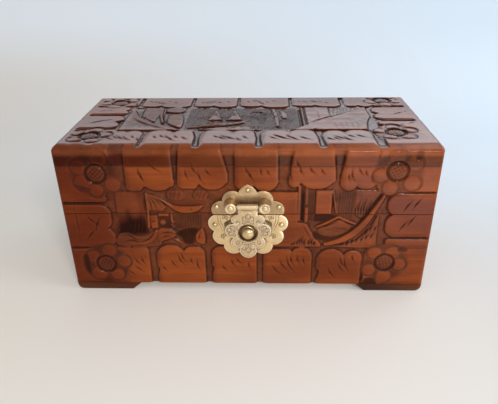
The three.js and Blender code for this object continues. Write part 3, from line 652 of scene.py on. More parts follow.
def carve_front():
    face = Carving((0, 2), (0, -1, 0), (-126, -1), (126, 111), WALL_HELD)
    face.roughen(rounded(-125, 0, 125, 110, 1), 0.22, cell=5)
    front_left_scene(face)
    front_right_scene(face)
    face.level(disc(0.9, 56, 23.5), LEAST_CUT)

    upper = (
        ((-79.3, -68.2, -46.9), (79.4, 79.4), (3.5, 10.3)), ((-45.4, -32, -11.7), (80.9, 80.2), (4, 10)),
        ((-7.7, 4.5, 21.3), (80, 79), (5, 9)), ((27.2, 34.2, 58.2), (81.8, 80.9), (4, 11)),
        ((60.7, 71.5, 84), (79.6, 81), (6, 5)),
    )
    lower = (
        ((-92, -81, -68.8), (36.2, 36.0), (2.5, 3)), ((-64.2, -43.8, -29.4), (37.8, 36.6), (10, 6)),
        ((-25.2, -11.5, 6.7), (37, 37), (9, 7)), ((10.9, 31, 45.2), (35, 36.6), (5, 7.5)),
        ((48, 67.6, 79.8), (35.2, 33.8), (10, 5.5)),
    )
    # Leaves in two rows, the first side of each painted darker as shade, more on the left half
    for root, row in ((110 + EDGE_RUN, upper), (6 - EDGE_RUN, lower)):
        for sides, tips, rounds in row:
            bilobed(face, root, tips, sides, True, rounds, aged=0.4 if sides[0] < 0 else 0.25)
    # The channels between them, which spread towards the rim, and notches low on their sides
    for wedge in (
        [(-84.5, 88), (-79.6, 88), (-78.6, 113), (-85.2, 113)],
        [(-47.1, 88), (-45.4, 88), (-42.8, 113), (-47.8, 113)],
        [(-11.8, 93), (-8.2, 88), (-7.2, 113), (-17.2, 113)],
        [(21.2, 88), (27.2, 88), (31.5, 113), (20.8, 113)],
        [(58.4, 88), (60.6, 88), (64.4, 113), (55.4, 113)],
    ):
        face.level(polygon(wedge), GROUND + 0.3, wall=2.0)
    for a, b in ((-64.6, 17.6), (-25.6, 18.6), (48.6, 16)):
        notch = blob((a - 2, b + 2), (a + 1.6, b), (a - 0.5, b - 7), (a - 2, b - 8))
        face.level(notch, GROUND, wall=1.4)

    # Leaves that grow from the two ends
    left = ((35.6, 50.6, 69.3), (-90.6, -91.6)), ((70.8, 75, 80), (-93, -93))
    right = ((44.5, 62, 78), (92.8, 93)), ((36, 40, 43.4), (94, 94))
    leaves(face, False, (-125 - EDGE_RUN, *left), (125 + EDGE_RUN, *right))
    face.groove([(-116, 72), (-115.4, 55), (-115.6, 38)], 1.2, 0.4, stain=0.5)

    # Corners: the field round each flower
    for a0, b0, a1, b1 in (
        (-133, 79, -88, 118), (-133, -2, -84, 34.5), (84.6, 79, 133, 118), (81.6, -2, 133, 36),
    ):
        face.level(rounded(a0, b0, a1, b1, 5), 0.25)
    above_left = (-35, 12.9, 4.9), (-95, 11.5, 4.6), (-147, 11, 5.4), (155, 11.6, 5), (72, 11, 5)
    below_left = (11, 13.2, 4.7), (-52, 11.4, 4.7), (-126, 9.8, 5.3), (143, 10.6, 4.6), (73, 12, 4.8)
    above_right = (194, 11, 4.8), (251, 12.2, 5), (-40, 12.6, 5.3), (32, 11.4, 5.2), (98, 10.6, 5.2)
    below_right = (133, 11.2, 4.7), (61, 9.8, 4.9), (-8, 10.2, 4.6), (-88, 11.4, 5.2), (210, 12, 4.5)
    flower(face, -98, 91.6, above_left, 0.6)
    flower(face, -100.5, 21.6, below_left, 0.6)
    flower(face, 96.9, 93.4, above_right)
    flower(face, 95.6, 23.9, below_right)
    for a0, a1, stain in ((-132, -86, 0.5), (86, 132, 0.6)):
        face.shade(rounded(a0, -12, a1, 7.5, 1), stain, wall=7)
    for hole, stain in (
        (blob((-112.6, 13), (-116, 16), (-116.5, 27), (-114, 30), (-112, 26)), 0.8),
        (blob((-113, 84), (-109, 79.6), (-103, 80.5), (-108, 83)), 0.5),
        (blob((108, 101), (106, 106), (110.5, 107), (111, 103)), 0.6),
        (blob((82, 2), (83, 10), (90, 10.5), (92, 2)), 0.75),
        (blob((104, 33), (105, 36.5), (110, 36), (109, 33)), 0.6),
    ):
        face.pit(hole, 1.1, stain, 2, 3)

    # Veins
    for places in (
        (-69.6, 96.5, -67, 88.5), (-68.2, 93, -66.4, 87), (-62, 99, -55.5, 94), (-39, 95, -37.2, 88.5),
        (-35, 99.5, -30.6, 91.5), (-30.6, 94, -27.2, 85.5), (-26, 95.5, -22.5, 91),
        (-0.4, 97.5, 3.2, 91), (2, 93.5, 4.8, 88), (9.6, 96, 10.4, 91.6), (13.5, 95, 16, 91),
        (29, 94.5, 29.4, 88.5), (32.4, 101.5, 35.6, 96), (34.6, 97, 37.2, 91.5), (40.5, 97.5, 45, 92),
        (48, 96, 51, 92), (68, 96, 70, 87.5), (66, 92, 67, 88), (72, 97, 75.4, 91.5),
        (76.5, 95, 78, 91), (-79.4, 27, -75, 21.8), (-79.5, 20.5, -74, 15.8), (-74.4, 28, -72, 22),
        (-84, 16.5, -80.6, 13), (-60, 21, -56.8, 16.2), (-53.4, 25.4, -50, 20),
        (-48.4, 30.6, -44, 21.8), (-45.8, 31.6, -43.6, 25), (-39.6, 27.5, -38.4, 23),
        (-35.2, 26, -33, 17.2), (-17.4, 21.8, -14, 16.4), (-11, 26.5, -8.4, 21), (-7.6, 28, -3.4, 22.6),
        (1, 24, 2.4, 19), (17.8, 21.8, 24, 14), (22.8, 26.4, 29.4, 17), (27.8, 29.4, 33.6, 16.4),
        (30.6, 30, 32.8, 22), (35, 30.4, 37.2, 22.8), (39.4, 28, 40.6, 22.6), (57.2, 19.6, 62, 12),
        (63.8, 24, 67.8, 17), (64.8, 28.8, 69.4, 19.8), (68, 28, 71.8, 17.2), (73, 31, 74.8, 25),
        (-108, 62, -101, 54), (-104, 50, -110, 43), (-99, 60, -103, 50),
    ):
        vein(face, *places)
    for a, b in ((103, 50), (108, 54), (104, 65), (110, 67)):
        vein(face, a + 5, b + 8, a, b)

    # Painted shade on the lip at both ends, under the rim
    for end in (-115, 115):
        face.shade(rounded(end - 24, 96, end + 24, 107, 3), 0.32, wall=6)
    # Painted shade: the lacquer is darker under the rim, over the left end and towards the left
    face.tone(rounded(-130, 97.2, 130, 106, 1), lambda a, b: 0.85 * smooth((55 - a) / 160), wall=2)
    face.tone(rounded(-130, -5, 130, 120, 1), lambda a, b: 0.6 * smooth((-a - 62) / 45))
    face.tone(rounded(-62, 10, 60, 100, 5), lambda a, b: 0.1 * smooth((10 - a) / 60), wall=5)
    joints(face, 125)
    face.finish()
    # Painted highlight: the rim is lighter, most towards the right end, and so is the wood below it on
    # the right
    rim = smooth((face.b - 103) / 3) * (0.6 + 1.0 * smooth((face.a + 25) / 45))
    below = 0.45 * smooth((face.a - 5) / 30) * smooth((face.b - 76) / 5) * smooth((98 - face.b) / 3)
    face.worn = np.clip(face.worn + rim + below * (1 - face.dirt), 0, 1.6)
    return face


# ---------------------------------------------------------------- carving: the top


def top_left_scene(face):
    """A long curved gunwale, screens, a mast and two tented boats; returns what stays pale."""
    face.level(polygon([(-90, 22), (-90, -24), (-52, -24), (-66, -13), (-80, 2)]), 0.35)
    for a in (-84, -79, -75):
        face.groove([(a, -9), (a + 2, -14), (a + 2.5, -19)], 1.1, 0.35, stain=0.5)
    face.level(blob((-88, 28), (-84, 10), (-79, 6), (-81, 18), (-82, 28)), GROUND + 0.2)
    face.level(polygon([(-80.5, 28), (-80, 8), (-68, -7), (-66.5, 27)]), 0.4)
    face.groove([(-75, 26), (-75.5, 12), (-73.5, 2)], 1.0, 0.35, stain=0.4)
    face.rail([(-67, 26), (-65.5, 10), (-61.5, -8)], 2.2, 0.15, 1, 0.8)
    face.level(blob((-63.5, 18), (-62.5, 4), (-59.5, -6), (-59.5, 8), (-61, 15)), GROUND + 0.3)
    face.level(blob((-62, 27), (-63, 19), (-57, 15.5), (-50, 17), (-49.5, 27)), 0.45)
    face.level(blob((-58.5, 8), (-52, 11), (-47.8, 4), (-46.5, -18), (-52, -16), (-58.5, -6)), 0.25)
    gunwale = [(-89, 22), (-80.5, 2), (-66.5, -12.5), (-48, -24.5)]
    face.rail(gunwale, 3.8, 0.1, 0.8, 0.9, wall=WALL)
    face.groove([(-90, 17), (-82.5, -1), (-69, -15), (-52, -26)], 1.5, 0.7)
    face.level(blob((-44.5, 29), (-40, 28), (-39, 3), (-40.5, -22), (-43.5, -22), (-44, 3)), 1.2)
    # Trees, then the tents and hulls of the boats
    pale = []
    trees = blob((-39, 18), (-33, 20), (-32, 2), (-34, -12), (-38, -8))
    face.level(trees, 0.9, wall=2)
    face.hatch(trees, 2.2, 0.4, 0.6, -0.1)
    for apex, half in ((-24, 5.5), (-10, 6)):
        tent = polygon([(apex - half, -3), (apex - 1, 23), (apex + half, -2)])
        pale.append(tent)
        face.level(tent, 0.4, wall=1.6)
        for lean in (-0.6, -0.1, 0.4):
            seam = [(apex - 0.6, 19), (apex + 0.6 * lean * half, 9), (apex + 1.3 * lean * half, -1)]
            face.groove(seam, 1.0, 0.4, stain=0.7)
    hull = band([(-42, -19), (-24, -14), (-8, -9), (7, -3)], 5.0, taper=(0.4, 0.5))
    face.level(hull, 0.35, wall=1.6)
    face.groove([(-38, -18.5), (-20, -14), (2, -6)], 1.1, 0.5)
    near = blob((-34, -22.5), (-22, -18.5), (-8, -16.5), (2, -17.5), (-4, -24))
    face.level(near, 0.5, wall=1.6)
    return [*pale, hull, near]


def top_right_scene(face):
    """Dark trees, two uprights, screens and a broad sail; returns what stays pale."""
    dark = rounded(1, -8, 12, 19, 4)
    face.level(dark, GROUND, wall=2)
    face.hatch(dark, 2.2, 0.5, 1)
    trees = rounded(12.5, -20, 29, 25, 3)
    face.level(trees, 1.1, wall=2)
    face.hatch(trees, 3.0, 0.5, 0.7, 0.06)
    trunk = band([(18.3, 24), (20.4, 4), (21.2, -16)], 2.8, taper=(1, 0.7))
    bush = blob((23.5, 20), (28, 15), (28.5, 2), (25, 4), (24.5, 12))
    for shape in (trunk, bush):
        face.level(shape, 0.5)
    face.level(blob((-3, -22), (-2, -8), (6, -6), (12, -12), (10, -23)), 0.8, wall=2)
    face.roughen(rounded(-41, -21, 30, 27, 5), 0.2, cell=3, seed=13)
    face.level(blob((30.5, 29), (37, 28), (37.5, 2), (36, -18), (32, -19), (30.5, 5)), 1.25)
    face.level(rounded(37, -16, 38.6, 23, 0.7), GROUND + 0.3, wall=0.8)
    face.level(rounded(39.2, -18, 41, 27, 0.8), 0.15, wall=0.8)
    face.level(rounded(42.4, -16, 60.5, 28, 0.8), 0.35)
    face.groove([(51.5, 27), (51.8, 10), (51.3, -8)], 1.2, 0.45, stain=0.5)
    trees = polygon([(60.5, 28), (60.5, 4), (82, 22), (84, 28)])
    face.level(trees, 0.9)
    face.hatch(trees, 2.8, 0.5, 0.7, 0.1)
    face.level(polygon([(29.5, -24), (89, 29), (89.5, -24)]), 0.15)
    face.groove([(33, -18), (58, 4), (82, 25)], 1.4, 0.6)
    for a in (61, 65.5, 69, 73, 77):
        face.groove([(a, -5), (a + 1, -12), (a + 0.6, -20)], 1.2, 0.4, stain=0.5)
    face.level(blob((89.5, 4), (86, -4), (83.5, -16), (83, -25), (88, -25), (90.5, -10)), 1.2)
    return [trunk, bush]


def carve_top():
    face = Carving((0, 1), (0, 0, 1), (-126, -60), (126, 60), rounded(-121, -55, 121, 55, 5), 1.3)
    face.roughen(rounded(-125, -59, 125, 59, 1), 0.22, cell=5, seed=11)
    pale = top_left_scene(face) + top_right_scene(face)
    face.shade(rounded(-45.5, -22, 37, 28, 4), 0.55, wall=3)
    for shape in pale:
        face.clean(shape, 0.62)
    for a, b in ((-33.5, -5), (-17, -3), (2, 0), (10, -3), (15, 6), (28, -9)):
        fan(face, a, b, 20, (-0.55, -0.3, -0.05, 0.2, 0.45))
    for a in (-25, -11):
        fan(face, a, 20, -19, (-0.14, 0.02, 0.2), 0.9)
    for a in (-28, -12, 6, 20):
        fan(face, a, -21, 9, (-0.9, -0.5, 0.4, 0.8), 1.1)
    face.shade(rounded(-88, -18, -46, 26, 5), 0.42, wall=9)
    face.shade(polygon([(42, -16), (88, -20), (88, 26)]), 0.2, wall=9)
    front = (
        ((-92, -82, -70.8), (-25.5, -25)), ((-69, -50, -34.2), (-24.5, -24)),
        ((-31.4, -9.8, 6.6), (-24, -24.5)), ((9.2, 28.4, 47.4), (-24, -24)),
        ((50.4, 66, 84), (-25, -24.5)),
    )
    back = (
        ((-86, -68.5, -46.2), (30, 28)), ((-44.2, -27, -9.8), (29.6, 28)),
        ((-7.8, 10.4, 31.4), (30, 27.5)), ((33.4, 52, 71.8), (30.5, 29)),
        ((74.6, 85, 96), (30, 29)),
    )
    leaves(face, True, (-59 - EDGE_RUN, *front), (59 + EDGE_RUN, *back))
    for x, lean in ((-33, -2.5), (7.8, -1.5), (49, -2), (87, -3)):
        far, near = (x + lean - 1.4, -25), (x + lean + 0.8, -25)
        gap = blob(far, near, (x + 1.4, -45), (x + 2.6, -62), (x - 2.4, -62), (x - 1.0, -42))
        face.level(gap, GROUND, wall=1.6)
    left = ((-21.5, -6, 8), (-92, -91)), ((10.5, 20, 30), (-91.5, -92))
    right = ((-3, 12, 28), (92, 92.5)), ((-22, -14, -5.4), (93.5, 92))
    leaves(face, False, (-125 - EDGE_RUN, *left), (125 + EDGE_RUN, *right))
    for a0, b0, a1, b1 in (
        (-140, -75, -89, -23), (-140, 32, -88, 75), (90, -75, 140, -16), (94, 31, 140, 75),
    ):
        face.level(rounded(a0, b0, a1, b1, 5), 0.15)
    for a, b, turn in ((-106.5, -34.5, 80), (100.4, -28.7, 20), (105.9, 46.5, 130), (-104, 42, 40)):
        flower(face, a, b, round_flower(turn), 0.2)
    for index, split in enumerate((-50, -9.8, 28.4, 66)):
        veins(face, split, -40, 40 + index, slope=0.9)
    veins(face, -80, -41, 45, slope=0.9)
    for index, split in enumerate((-68.5, -27, 10.4, 52)):
        veins(face, split, 42, 50 + index, slope=0.8)
    strokes(face, [(-118, -12), (-112, -8), (-106, -5)], 9, 1.6)
    strokes(face, [(-118, 16), (-110, 19)], 7, 1.6)
    strokes(face, [(102, 6), (108, 10), (114, 14)], 9, 1.4)
    strokes(face, [(104, -16), (111, -13)], 7, 1.4)
    return face.finish(wall_grime_and_shade=1.5, rubbed=0.3, steep=1.6)


# ---------------------------------------------------------------- carving: ends and back


def junk(face, a, b):
    """A small boat: a crescent hull, a mast and a battened sail."""
    hull = ((-15, 4), (-5, 1.5), (6, 1.5), (16, 5), (10, -4), (-9, -4))
    face.level(blob(*[(a + along, b + up) for along, up in hull]), 0.2)
    face.groove([(a - 10, b - 1), (a, b - 1.6), (a + 11, b + 0.5)], 1.1, 0.5)
    face.rail([(a + 1, b + 2), (a + 1, b + 12), (a + 0.5, b + 23)], 1.8, 0.2)
    face.level(polygon([(a - 1, b + 22), (a - 1, b + 4.5), (a - 12, b + 5.5)]), 0.4)
    face.level(polygon([(a + 3, b + 20), (a + 3, b + 4.5), (a + 11, b + 7)]), 0.4)
    for run in (-10, -7, -4):
        face.groove([(a - 1.4, b + 21), (a + run / 2 - 1.2, b + 13.5), (a + run, b + 6.5)], 1.0, 0.45)


def carve_end(out, seed):
    face = Carving((1, 2), (out, 0, 0), (-60, -1), (60, 111), rounded(-56.3, -30, 56.3, 114, 5))
    face.roughen(rounded(-59, 0, 59, 110, 1), 0.22, cell=5, seed=seed)
    junk(face, -4 * out, 49)
    shore = blob((-31, 38), (-30, 44), (-14, 42.5), (4, 44), (20, 42), (30, 45), (31, 38))
    face.level(shore, 0.6)
    face.groove([(-26, 40.5), (-8, 39.5), (10, 41), (26, 40)], 1.2, 0.5)
    for foot in (-24, -20.5, 17, 20.5, 24):
        face.groove([(foot, 44), (foot - 0.4, 49), (foot + 0.8, 55)], 1.5, 0.7)
    upper = ((-25, -12.5, -1.4), (79.5, 79)), ((1.6, 13, 25), (79, 79.6))
    lower = ((-25, -13, -1.6), (36.6, 37)), ((1.4, 12.5, 25), (37, 36.4))
    leaves(face, True, (110 + EDGE_RUN, *upper), (6 - EDGE_RUN, *lower))
    for edge in (-1, 1):
        root, tip = edge * (59 + EDGE_RUN), edge * 33
        bilobed(face, root, (tip, tip), (40, 57, 74), False)
        for b0, b1 in ((77, 130), (-20, 37)):
            face.level(rounded(edge * 28.5, b0, edge * 80, b1, 5), 0.15)
        flower(face, edge * 43.5, 92.5, round_flower(90 + 20 * edge))
        flower(face, edge * 43.5, 23.5, round_flower(60 - 30 * edge))
        strokes(face, [(edge * 46 - 3, 52), (edge * 46, 58), (edge * 44, 66)], 7, 0.8)
    for index, split in enumerate((-12.5, 12.5)):
        veins(face, split, 89, seed + 5 + index)
        veins(face, split, 22, seed + 7 + index)
    joints(face, 59)
    return face.finish()


def carve_back():
    face = Carving((0, 2), (0, 1, 0), (-126, -1), (126, 111), WALL_HELD)
    face.roughen(rounded(-125, 0, 125, 110, 1), 0.22, cell=5, seed=19)
    field = rounded(-88, 39, 88, 77, 4)
    face.level(field, 0.3, wall=1.6)
    top, bottom = 110 + EDGE_RUN, 6 - EDGE_RUN
    channels = (-88, -45, -9, 31.5, 72.5, 88)
    for start, end in zip(channels, channels[1:]):
        split = (start + end) / 2 + 1
        bilobed(face, top, (80, 79.5), (start + 1.6, split, end - 1.6), True)
        bilobed(face, bottom, (36.5, 36), (start + 1.6, split, end - 1.6), True)
        if end - start > 20:
            veins(face, split, 89, int(split) + 200)
            veins(face, split, 22, int(split) + 300)
    for edge in (-1, 1):
        bilobed(face, edge * (125 + EDGE_RUN), (edge * 91, edge * 91.5), (41, 58, 75), False)
        for b0, b1 in ((78, 130), (-20, 37)):
            face.level(rounded(edge * 90, b0, edge * 150, b1, 5), 0.15)
        flower(face, edge * 104, 93, round_flower(90))
        flower(face, edge * 104, 23.5, round_flower(30))
    joints(face, 125)
    return face.finish()


# ---------------------------------------------------------------- shader nodes


class Nodes:
    """The nodes of a material or a group. An input is a value, or another node's output to link."""

    def __init__(self, tree):
        self.tree = tree

    def feed(self, made, inputs):
        for key, value in inputs.items():
            if isinstance(value, bpy.types.NodeSocket):
                self.tree.links.new(value, made.inputs[key])
            else:
                made.inputs[key].default_value = value

    def add(self, kind, inputs=None, **settings):
        made = self.tree.nodes.new("ShaderNode" + kind)
        for name, value in settings.items():
            setattr(made, name, value)
        self.feed(made, inputs or {})
        return made

    def mix(self, factor, a, b, blend="MIX"):
        inputs = {0: factor, 6: a, 7: b}
        return self.add("Mix", inputs, data_type="RGBA", blend_type=blend).outputs[2]

    def maths(self, operation, *values, clamp=False):
        inputs = dict(enumerate(values))
        return self.add("Math", inputs, operation=operation, use_clamp=clamp).outputs[0]

    def times(self, a, b, clamp=False):
        return self.maths("MULTIPLY", a, b, clamp=clamp)

    def plus(self, a, b):
        return self.maths("ADD", a, b)

    def most(self, a, b):
        return self.maths("MAXIMUM", a, b)

    def between(self, value, low, high, to_low=0.0, to_high=1.0):
        """Value rescaled from low..high to to_low..to_high with soft ends, and held there."""
        inputs = {"Value": value, "From Min": low, "From Max": high}
        inputs.update({"To Min": to_low, "To Max": to_high})
        return self.add("MapRange", inputs, interpolation_type="SMOOTHSTEP").outputs["Result"]

    def mapped(self, vector, **inputs):
        return self.add("Mapping", {"Vector": vector, **inputs}).outputs["Vector"]

    def noise(self, vector, scale, detail, rough, distortion=0.0):
        inputs = {"Vector": vector, "Scale": scale, "Detail": detail}
        inputs.update({"Roughness": rough, "Distortion": distortion})
        return self.add("TexNoise", inputs).outputs["Fac"]

    def bump(self, height, strength, distance):
        inputs = {"Height": height, "Strength": strength, "Distance": distance}
        return self.add("Bump", inputs).outputs["Normal"]

    def attribute(self, name):
        return self.add("Attribute", attribute_name=name).outputs["Fac"]

    def group(self, group, inputs):
        return self.add("Group", inputs, node_tree=group).outputs

    def object_vector(self, turn=0.0):
        """Places on the piece in metres, turned about Z so that the grain lies along X."""
        place = self.add("TexCoord").outputs["Object"]
        return self.mapped(place, Rotation=(0, 0, turn)) if turn else place


def new_group(name, inputs, outputs):
    """A node group with its nodes, the outputs of its input node and its output node."""
    group = bpy.data.node_groups.new(name, "ShaderNodeTree")
    for socket, kind, value in inputs:
        made = group.interface.new_socket(socket, in_out="INPUT", socket_type="NodeSocket" + kind)
        if value is not None:
            made.default_value = value
    for socket in outputs:
        group.interface.new_socket(socket, in_out="OUTPUT", socket_type="NodeSocketFloat")
    given = group.nodes.new("NodeGroupInput").outputs
    return group, Nodes(group), given, group.nodes.new("NodeGroupOutput")


def new_material(name):
    material = bpy.data.materials.new(name)
    material.use_nodes = True
    return material, Nodes(material.node_tree), material.node_tree.nodes["Principled BSDF"]


# ---------------------------------------------------------------- shared effects


def build_wood_grain():
    """Long streaks and fine pores along the grain, which runs along the vector's X."""
    inputs = [("Vector", "Vector", None), ("Streak Size", "Float", 1.0)]
    group, nodes, given, out = new_group("wood_grain", inputs, ("Streaks", "Pores", "Clouds"))
    place = given["Vector"]
    scaling = {0: place, "Scale": given["Streak Size"]}
    sized = nodes.add("VectorMath", scaling, operation="SCALE").outputs[0]
    effects = {
        "Streaks": nodes.noise(nodes.mapped(sized, Scale=(9, 170, 170)), 1.0, 6.0, 0.6, 0.6),
        "Pores": nodes.noise(nodes.mapped(place, Scale=(70, 2100, 2100)), 1.0, 2.0, 0.6),
        "Clouds": nodes.noise(nodes.mapped(place, Scale=(14, 34, 34)), 1.0, 3.0, 0.5),
    }
    nodes.feed(out, effects)
    return group


def build_handling():
    """Blotches and fine scuffs left by years of handling."""
    inputs = [("Vector", "Vector", None)]
    group, nodes, given, out = new_group("handling", inputs, ("Blotches", "Scuffs"))
    place = given["Vector"]
    scuffs = nodes.noise(nodes.mapped(place, Scale=(420, 900, 420)), 1.0, 5.0, 0.7, 1.5)
    nodes.feed(out, {"Blotches": nodes.noise(place, 60.0, 4.0, 0.6, 0.5), "Scuffs": scuffs})
    return group


WOOD_GRAIN = build_wood_grain()
HANDLING = build_handling()


# ---------------------------------------------------------------- materials


def carved_lacquer(name, turn=0.0, tint=(1, 1, 1, 1), blackness=0.88, hollow=0.55):
    """Orange-brown wood, dark stain in the cuts, painted shade on walls and at their foot, a darker red
    tone that is partly painted shade, worn edges and painted highlights, and gloss lacquer over all.

    blackness is how black the stain and the painted shade go, and hollow how much of the gloss the cuts
    take away.
    """
    material, nodes, shader = new_material(name)
    vector = nodes.object_vector(turn)
    grain = nodes.group(WOOD_GRAIN, {"Vector": vector})
    wear = nodes.group(HANDLING, {"Vector": vector})
    streaks = nodes.between(grain["Streaks"], 0.32, 0.7)
    high = nodes.mix(streaks, (0.365, 0.077, 0.013, 1), (0.27, 0.051, 0.008, 1))
    clouds = nodes.between(grain["Clouds"], 0.36, 0.64, 0.0, 0.7)
    high = nodes.mix(clouds, high, (0.155, 0.028, 0.007, 1))
    pores = nodes.between(grain["Pores"], 0.5, 0.72, 0.0, 0.35)
    high = nodes.mix(pores, high, (0.06, 0.017, 0.008, 1))

    ragged = nodes.plus(nodes.attribute("cut"), nodes.between(wear["Scuffs"], 0.3, 0.7, -0.08, 0.08))
    deep = nodes.times(nodes.between(ragged, 0.12, 0.62), 0.84)
    blotches = nodes.between(wear["Blotches"], 0.35, 0.7)
    ground = nodes.mix(blotches, (0.112, 0.031, 0.014, 1), (0.212, 0.056, 0.020, 1))
    colour = nodes.mix(deep, high, ground)
    # A darker red tone, which is painted shade over the lip, the left end and one side of each leaf
    aged = nodes.between(nodes.attribute("aged"), 0.0, 1.0, 0.0, 0.9)
    colour = nodes.mix(aged, colour, (0.095, 0.010, 0.003, 1))
    # Stain, grime and painted shade darken the colour towards black
    dark = nodes.most(nodes.attribute("stain"), nodes.times(nodes.attribute("dirt"), 0.85))
    colour = nodes.mix(nodes.times(dark, blackness), colour, (0.012, 0.006, 0.005, 1))
    colour = nodes.mix(1.0, colour, tint, "MULTIPLY")
    # Lighter on worn edges and where highlights are painted
    rubbed = nodes.between(wear["Blotches"], 0.3, 0.65, 0.2, 0.6)
    worn = nodes.times(nodes.attribute("worn"), rubbed, clamp=True)
    colour = nodes.mix(worn, colour, (0.40, 0.105, 0.036, 1))

    rough = nodes.between(wear["Scuffs"], 0.25, 0.75, 0.36, 0.52)
    rough = nodes.plus(rough, nodes.times(deep, 0.08))
    hidden = nodes.most(dark, nodes.times(deep, hollow))
    hidden = nodes.most(hidden, nodes.times(aged, 0.8))
    coat = nodes.between(hidden, 0.0, 1.0, 0.7, 0.1)
    height = nodes.plus(nodes.times(grain["Pores"], 0.6), grain["Streaks"])
    height = nodes.plus(height, nodes.times(wear["Scuffs"], 1.1))
    bumps = nodes.bump(height, 0.4, 0.00016)
    nodes.feed(shader, {"Base Color": colour, "Roughness": rough, "Normal": bumps})
    nodes.feed(shader, {"Specular IOR Level": 0.0, "Coat Weight": coat})
    nodes.feed(shader, {"Coat Roughness": 0.13, "Coat IOR": 1.3})
    return material


def bare_wood(name, turn=0.0):
    """Planed wood inside the box: pale brown, thinly sealed."""
    material, nodes, shader = new_material(name)
    vector = nodes.object_vector(turn)
    grain = nodes.group(WOOD_GRAIN, {"Vector": vector, "Streak Size": 0.8})
    wear = nodes.group(HANDLING, {"Vector": vector})
    streaks = nodes.between(grain["Streaks"], 0.3, 0.7)
    colour = nodes.mix(streaks, (0.42, 0.235, 0.105, 1), (0.25, 0.115, 0.045, 1))
    for effect, low, high, most, shade in (
        (grain["Clouds"], 0.35, 0.75, 0.4, (0.30, 0.13, 0.05, 1)),
        (grain["Pores"], 0.55, 0.75, 0.5, (0.14, 0.06, 0.025, 1)),
        (wear["Blotches"], 0.55, 0.8, 0.25, (0.15, 0.07, 0.03, 1)),
    ):
        colour = nodes.mix(nodes.between(effect, low, high, 0.0, most), colour, shade)
    rough = nodes.between(wear["Scuffs"], 0.3, 0.7, 0.5, 0.66)
    bumps = nodes.bump(nodes.plus(grain["Pores"], grain["Streaks"]), 0.35, 0.0002)
    nodes.feed(shader, {"Base Color": colour, "Roughness": rough, "Normal": bumps})
    return material


def sheet_brass(name, colour, tarnish, amount, rough):
    """Pale brass, browner in its hollows, where the polish has gone and under painted shade, and lighter
    along its rims as a painted highlight.
    """
    material, nodes, shader = new_material(name)
    wear = nodes.group(HANDLING, {"Vector": nodes.object_vector()})
    dull = nodes.between(wear["Blotches"], 0.38, 0.72, 0.0, amount)
    sunk = nodes.most(nodes.attribute("stain"), nodes.attribute("dirt"))
    dull = nodes.most(dull, nodes.times(sunk, 0.96))
    mixed = nodes.mix(dull, colour, tarnish)
    mixed = nodes.mix(nodes.between(wear["Scuffs"], 0.62, 0.8, 0.0, 0.5), mixed, tarnish)
    # Painted highlight along the rims
    rim_highlight = nodes.between(nodes.attribute("worn"), 0.03, 0.2, 0.0, 0.8)
    mixed = nodes.mix(rim_highlight, mixed, (0.96, 0.84, 0.64, 1))
    roughness = nodes.between(wear["Scuffs"], 0.25, 0.75, rough - 0.06, rough + 0.1)
    roughness = nodes.plus(roughness, nodes.times(dull, 0.12))
    bumps = nodes.bump(nodes.plus(wear["Scuffs"], nodes.times(wear["Blotches"], 0.8)), 0.3, 0.00012)
    nodes.feed(shader, {"Base Color": mixed, "Metallic": 1.0, "Roughness": roughness, "Normal": bumps})
    return material


def floor_material():
    """Pale matt paper with painted light and shade: warmer on the floor and to the left, darker and
    cooler on the floor to the right, bluish on the wall and to the right.
    """
    material, nodes, shader = new_material("pale_paper")
    place = nodes.add("TexCoord").outputs["Object"]
    parts = nodes.add("SeparateXYZ", {"Vector": place})
    x, y, z = [parts.outputs[name] for name in "XYZ"]
    across = nodes.between(x, -0.45, 0.5)
    # Painted light and shade on the floor: warm on the left, darker and bluer to the right
    near = nodes.mix(nodes.between(x, -0.28, 0.0), (0.76, 0.70, 0.61, 1), (0.775, 0.715, 0.655, 1))
    near = nodes.mix(nodes.between(x, 0.05, 0.4), near, (0.52, 0.555, 0.57, 1))
    far = nodes.mix(across, (0.70, 0.66, 0.61, 1), (0.685, 0.77, 0.85, 1))
    upper = nodes.mix(across, (0.76, 0.79, 0.82, 1), (0.61, 0.69, 0.765, 1))
    colour = nodes.mix(nodes.between(y, -0.1, 0.2), near, far)
    colour = nodes.mix(nodes.between(z, 0.02, 0.12), colour, upper)
    # Painted reflections, for glossy rays only: the floor glows in a pale stripe of wall for the lid
    # and in a bright patch of floor for the front, and is painted darker high up on the left; it also
    # glows faintly for the camera
    seen = nodes.add("LightPath").outputs
    glossy = seen["Is Glossy Ray"]
    stripe = nodes.times(nodes.between(z, 0.14, 0.2), nodes.between(z, 0.42, 0.6, 1.0, 0.0))
    to_patch = {0: place, 1: (0.16, -0.24, 0.0)}
    from_patch = nodes.add("VectorMath", to_patch, operation="DISTANCE").outputs["Value"]
    patch = nodes.between(from_patch, 0.03, 0.19, 1.0, 0.0)
    pale = nodes.times(nodes.between(x, -0.3, 0.15, 0.72, 1.25), nodes.between(z, 0.26, 0.34, 0.9, 3.4))
    glow = nodes.plus(nodes.times(stripe, pale), nodes.times(patch, 2.3))
    shown = nodes.most(seen["Is Camera Ray"], glossy)
    strength = nodes.plus(nodes.times(glow, glossy), nodes.times(shown, 0.2))
    high = nodes.times(nodes.between(z, 0.55, 0.75), nodes.between(x, 0.0, 0.4, 1.0, 0.0))
    high = nodes.times(high, glossy)
    kept = nodes.maths("SUBTRACT", 1.0, nodes.times(high, 0.85))
    grey = nodes.add("CombineColor", {"Red": kept, "Green": kept, "Blue": kept}).outputs["Color"]
    cool = nodes.mix(nodes.times(stripe, glossy), colour, (0.68, 0.75, 0.81, 1))
    cool = nodes.mix(nodes.times(patch, glossy), cool, (0.50, 0.75, 1.0, 1))
    nodes.feed(shader, {"Base Color": nodes.mix(1.0, colour, grey, "MULTIPLY"), "Emission Color": cool})
    nodes.feed(shader, {"Emission Strength": nodes.times(strength, kept)})
    nodes.feed(shader, {"Roughness": 0.9, "Specular IOR Level": 0.0})
    return material


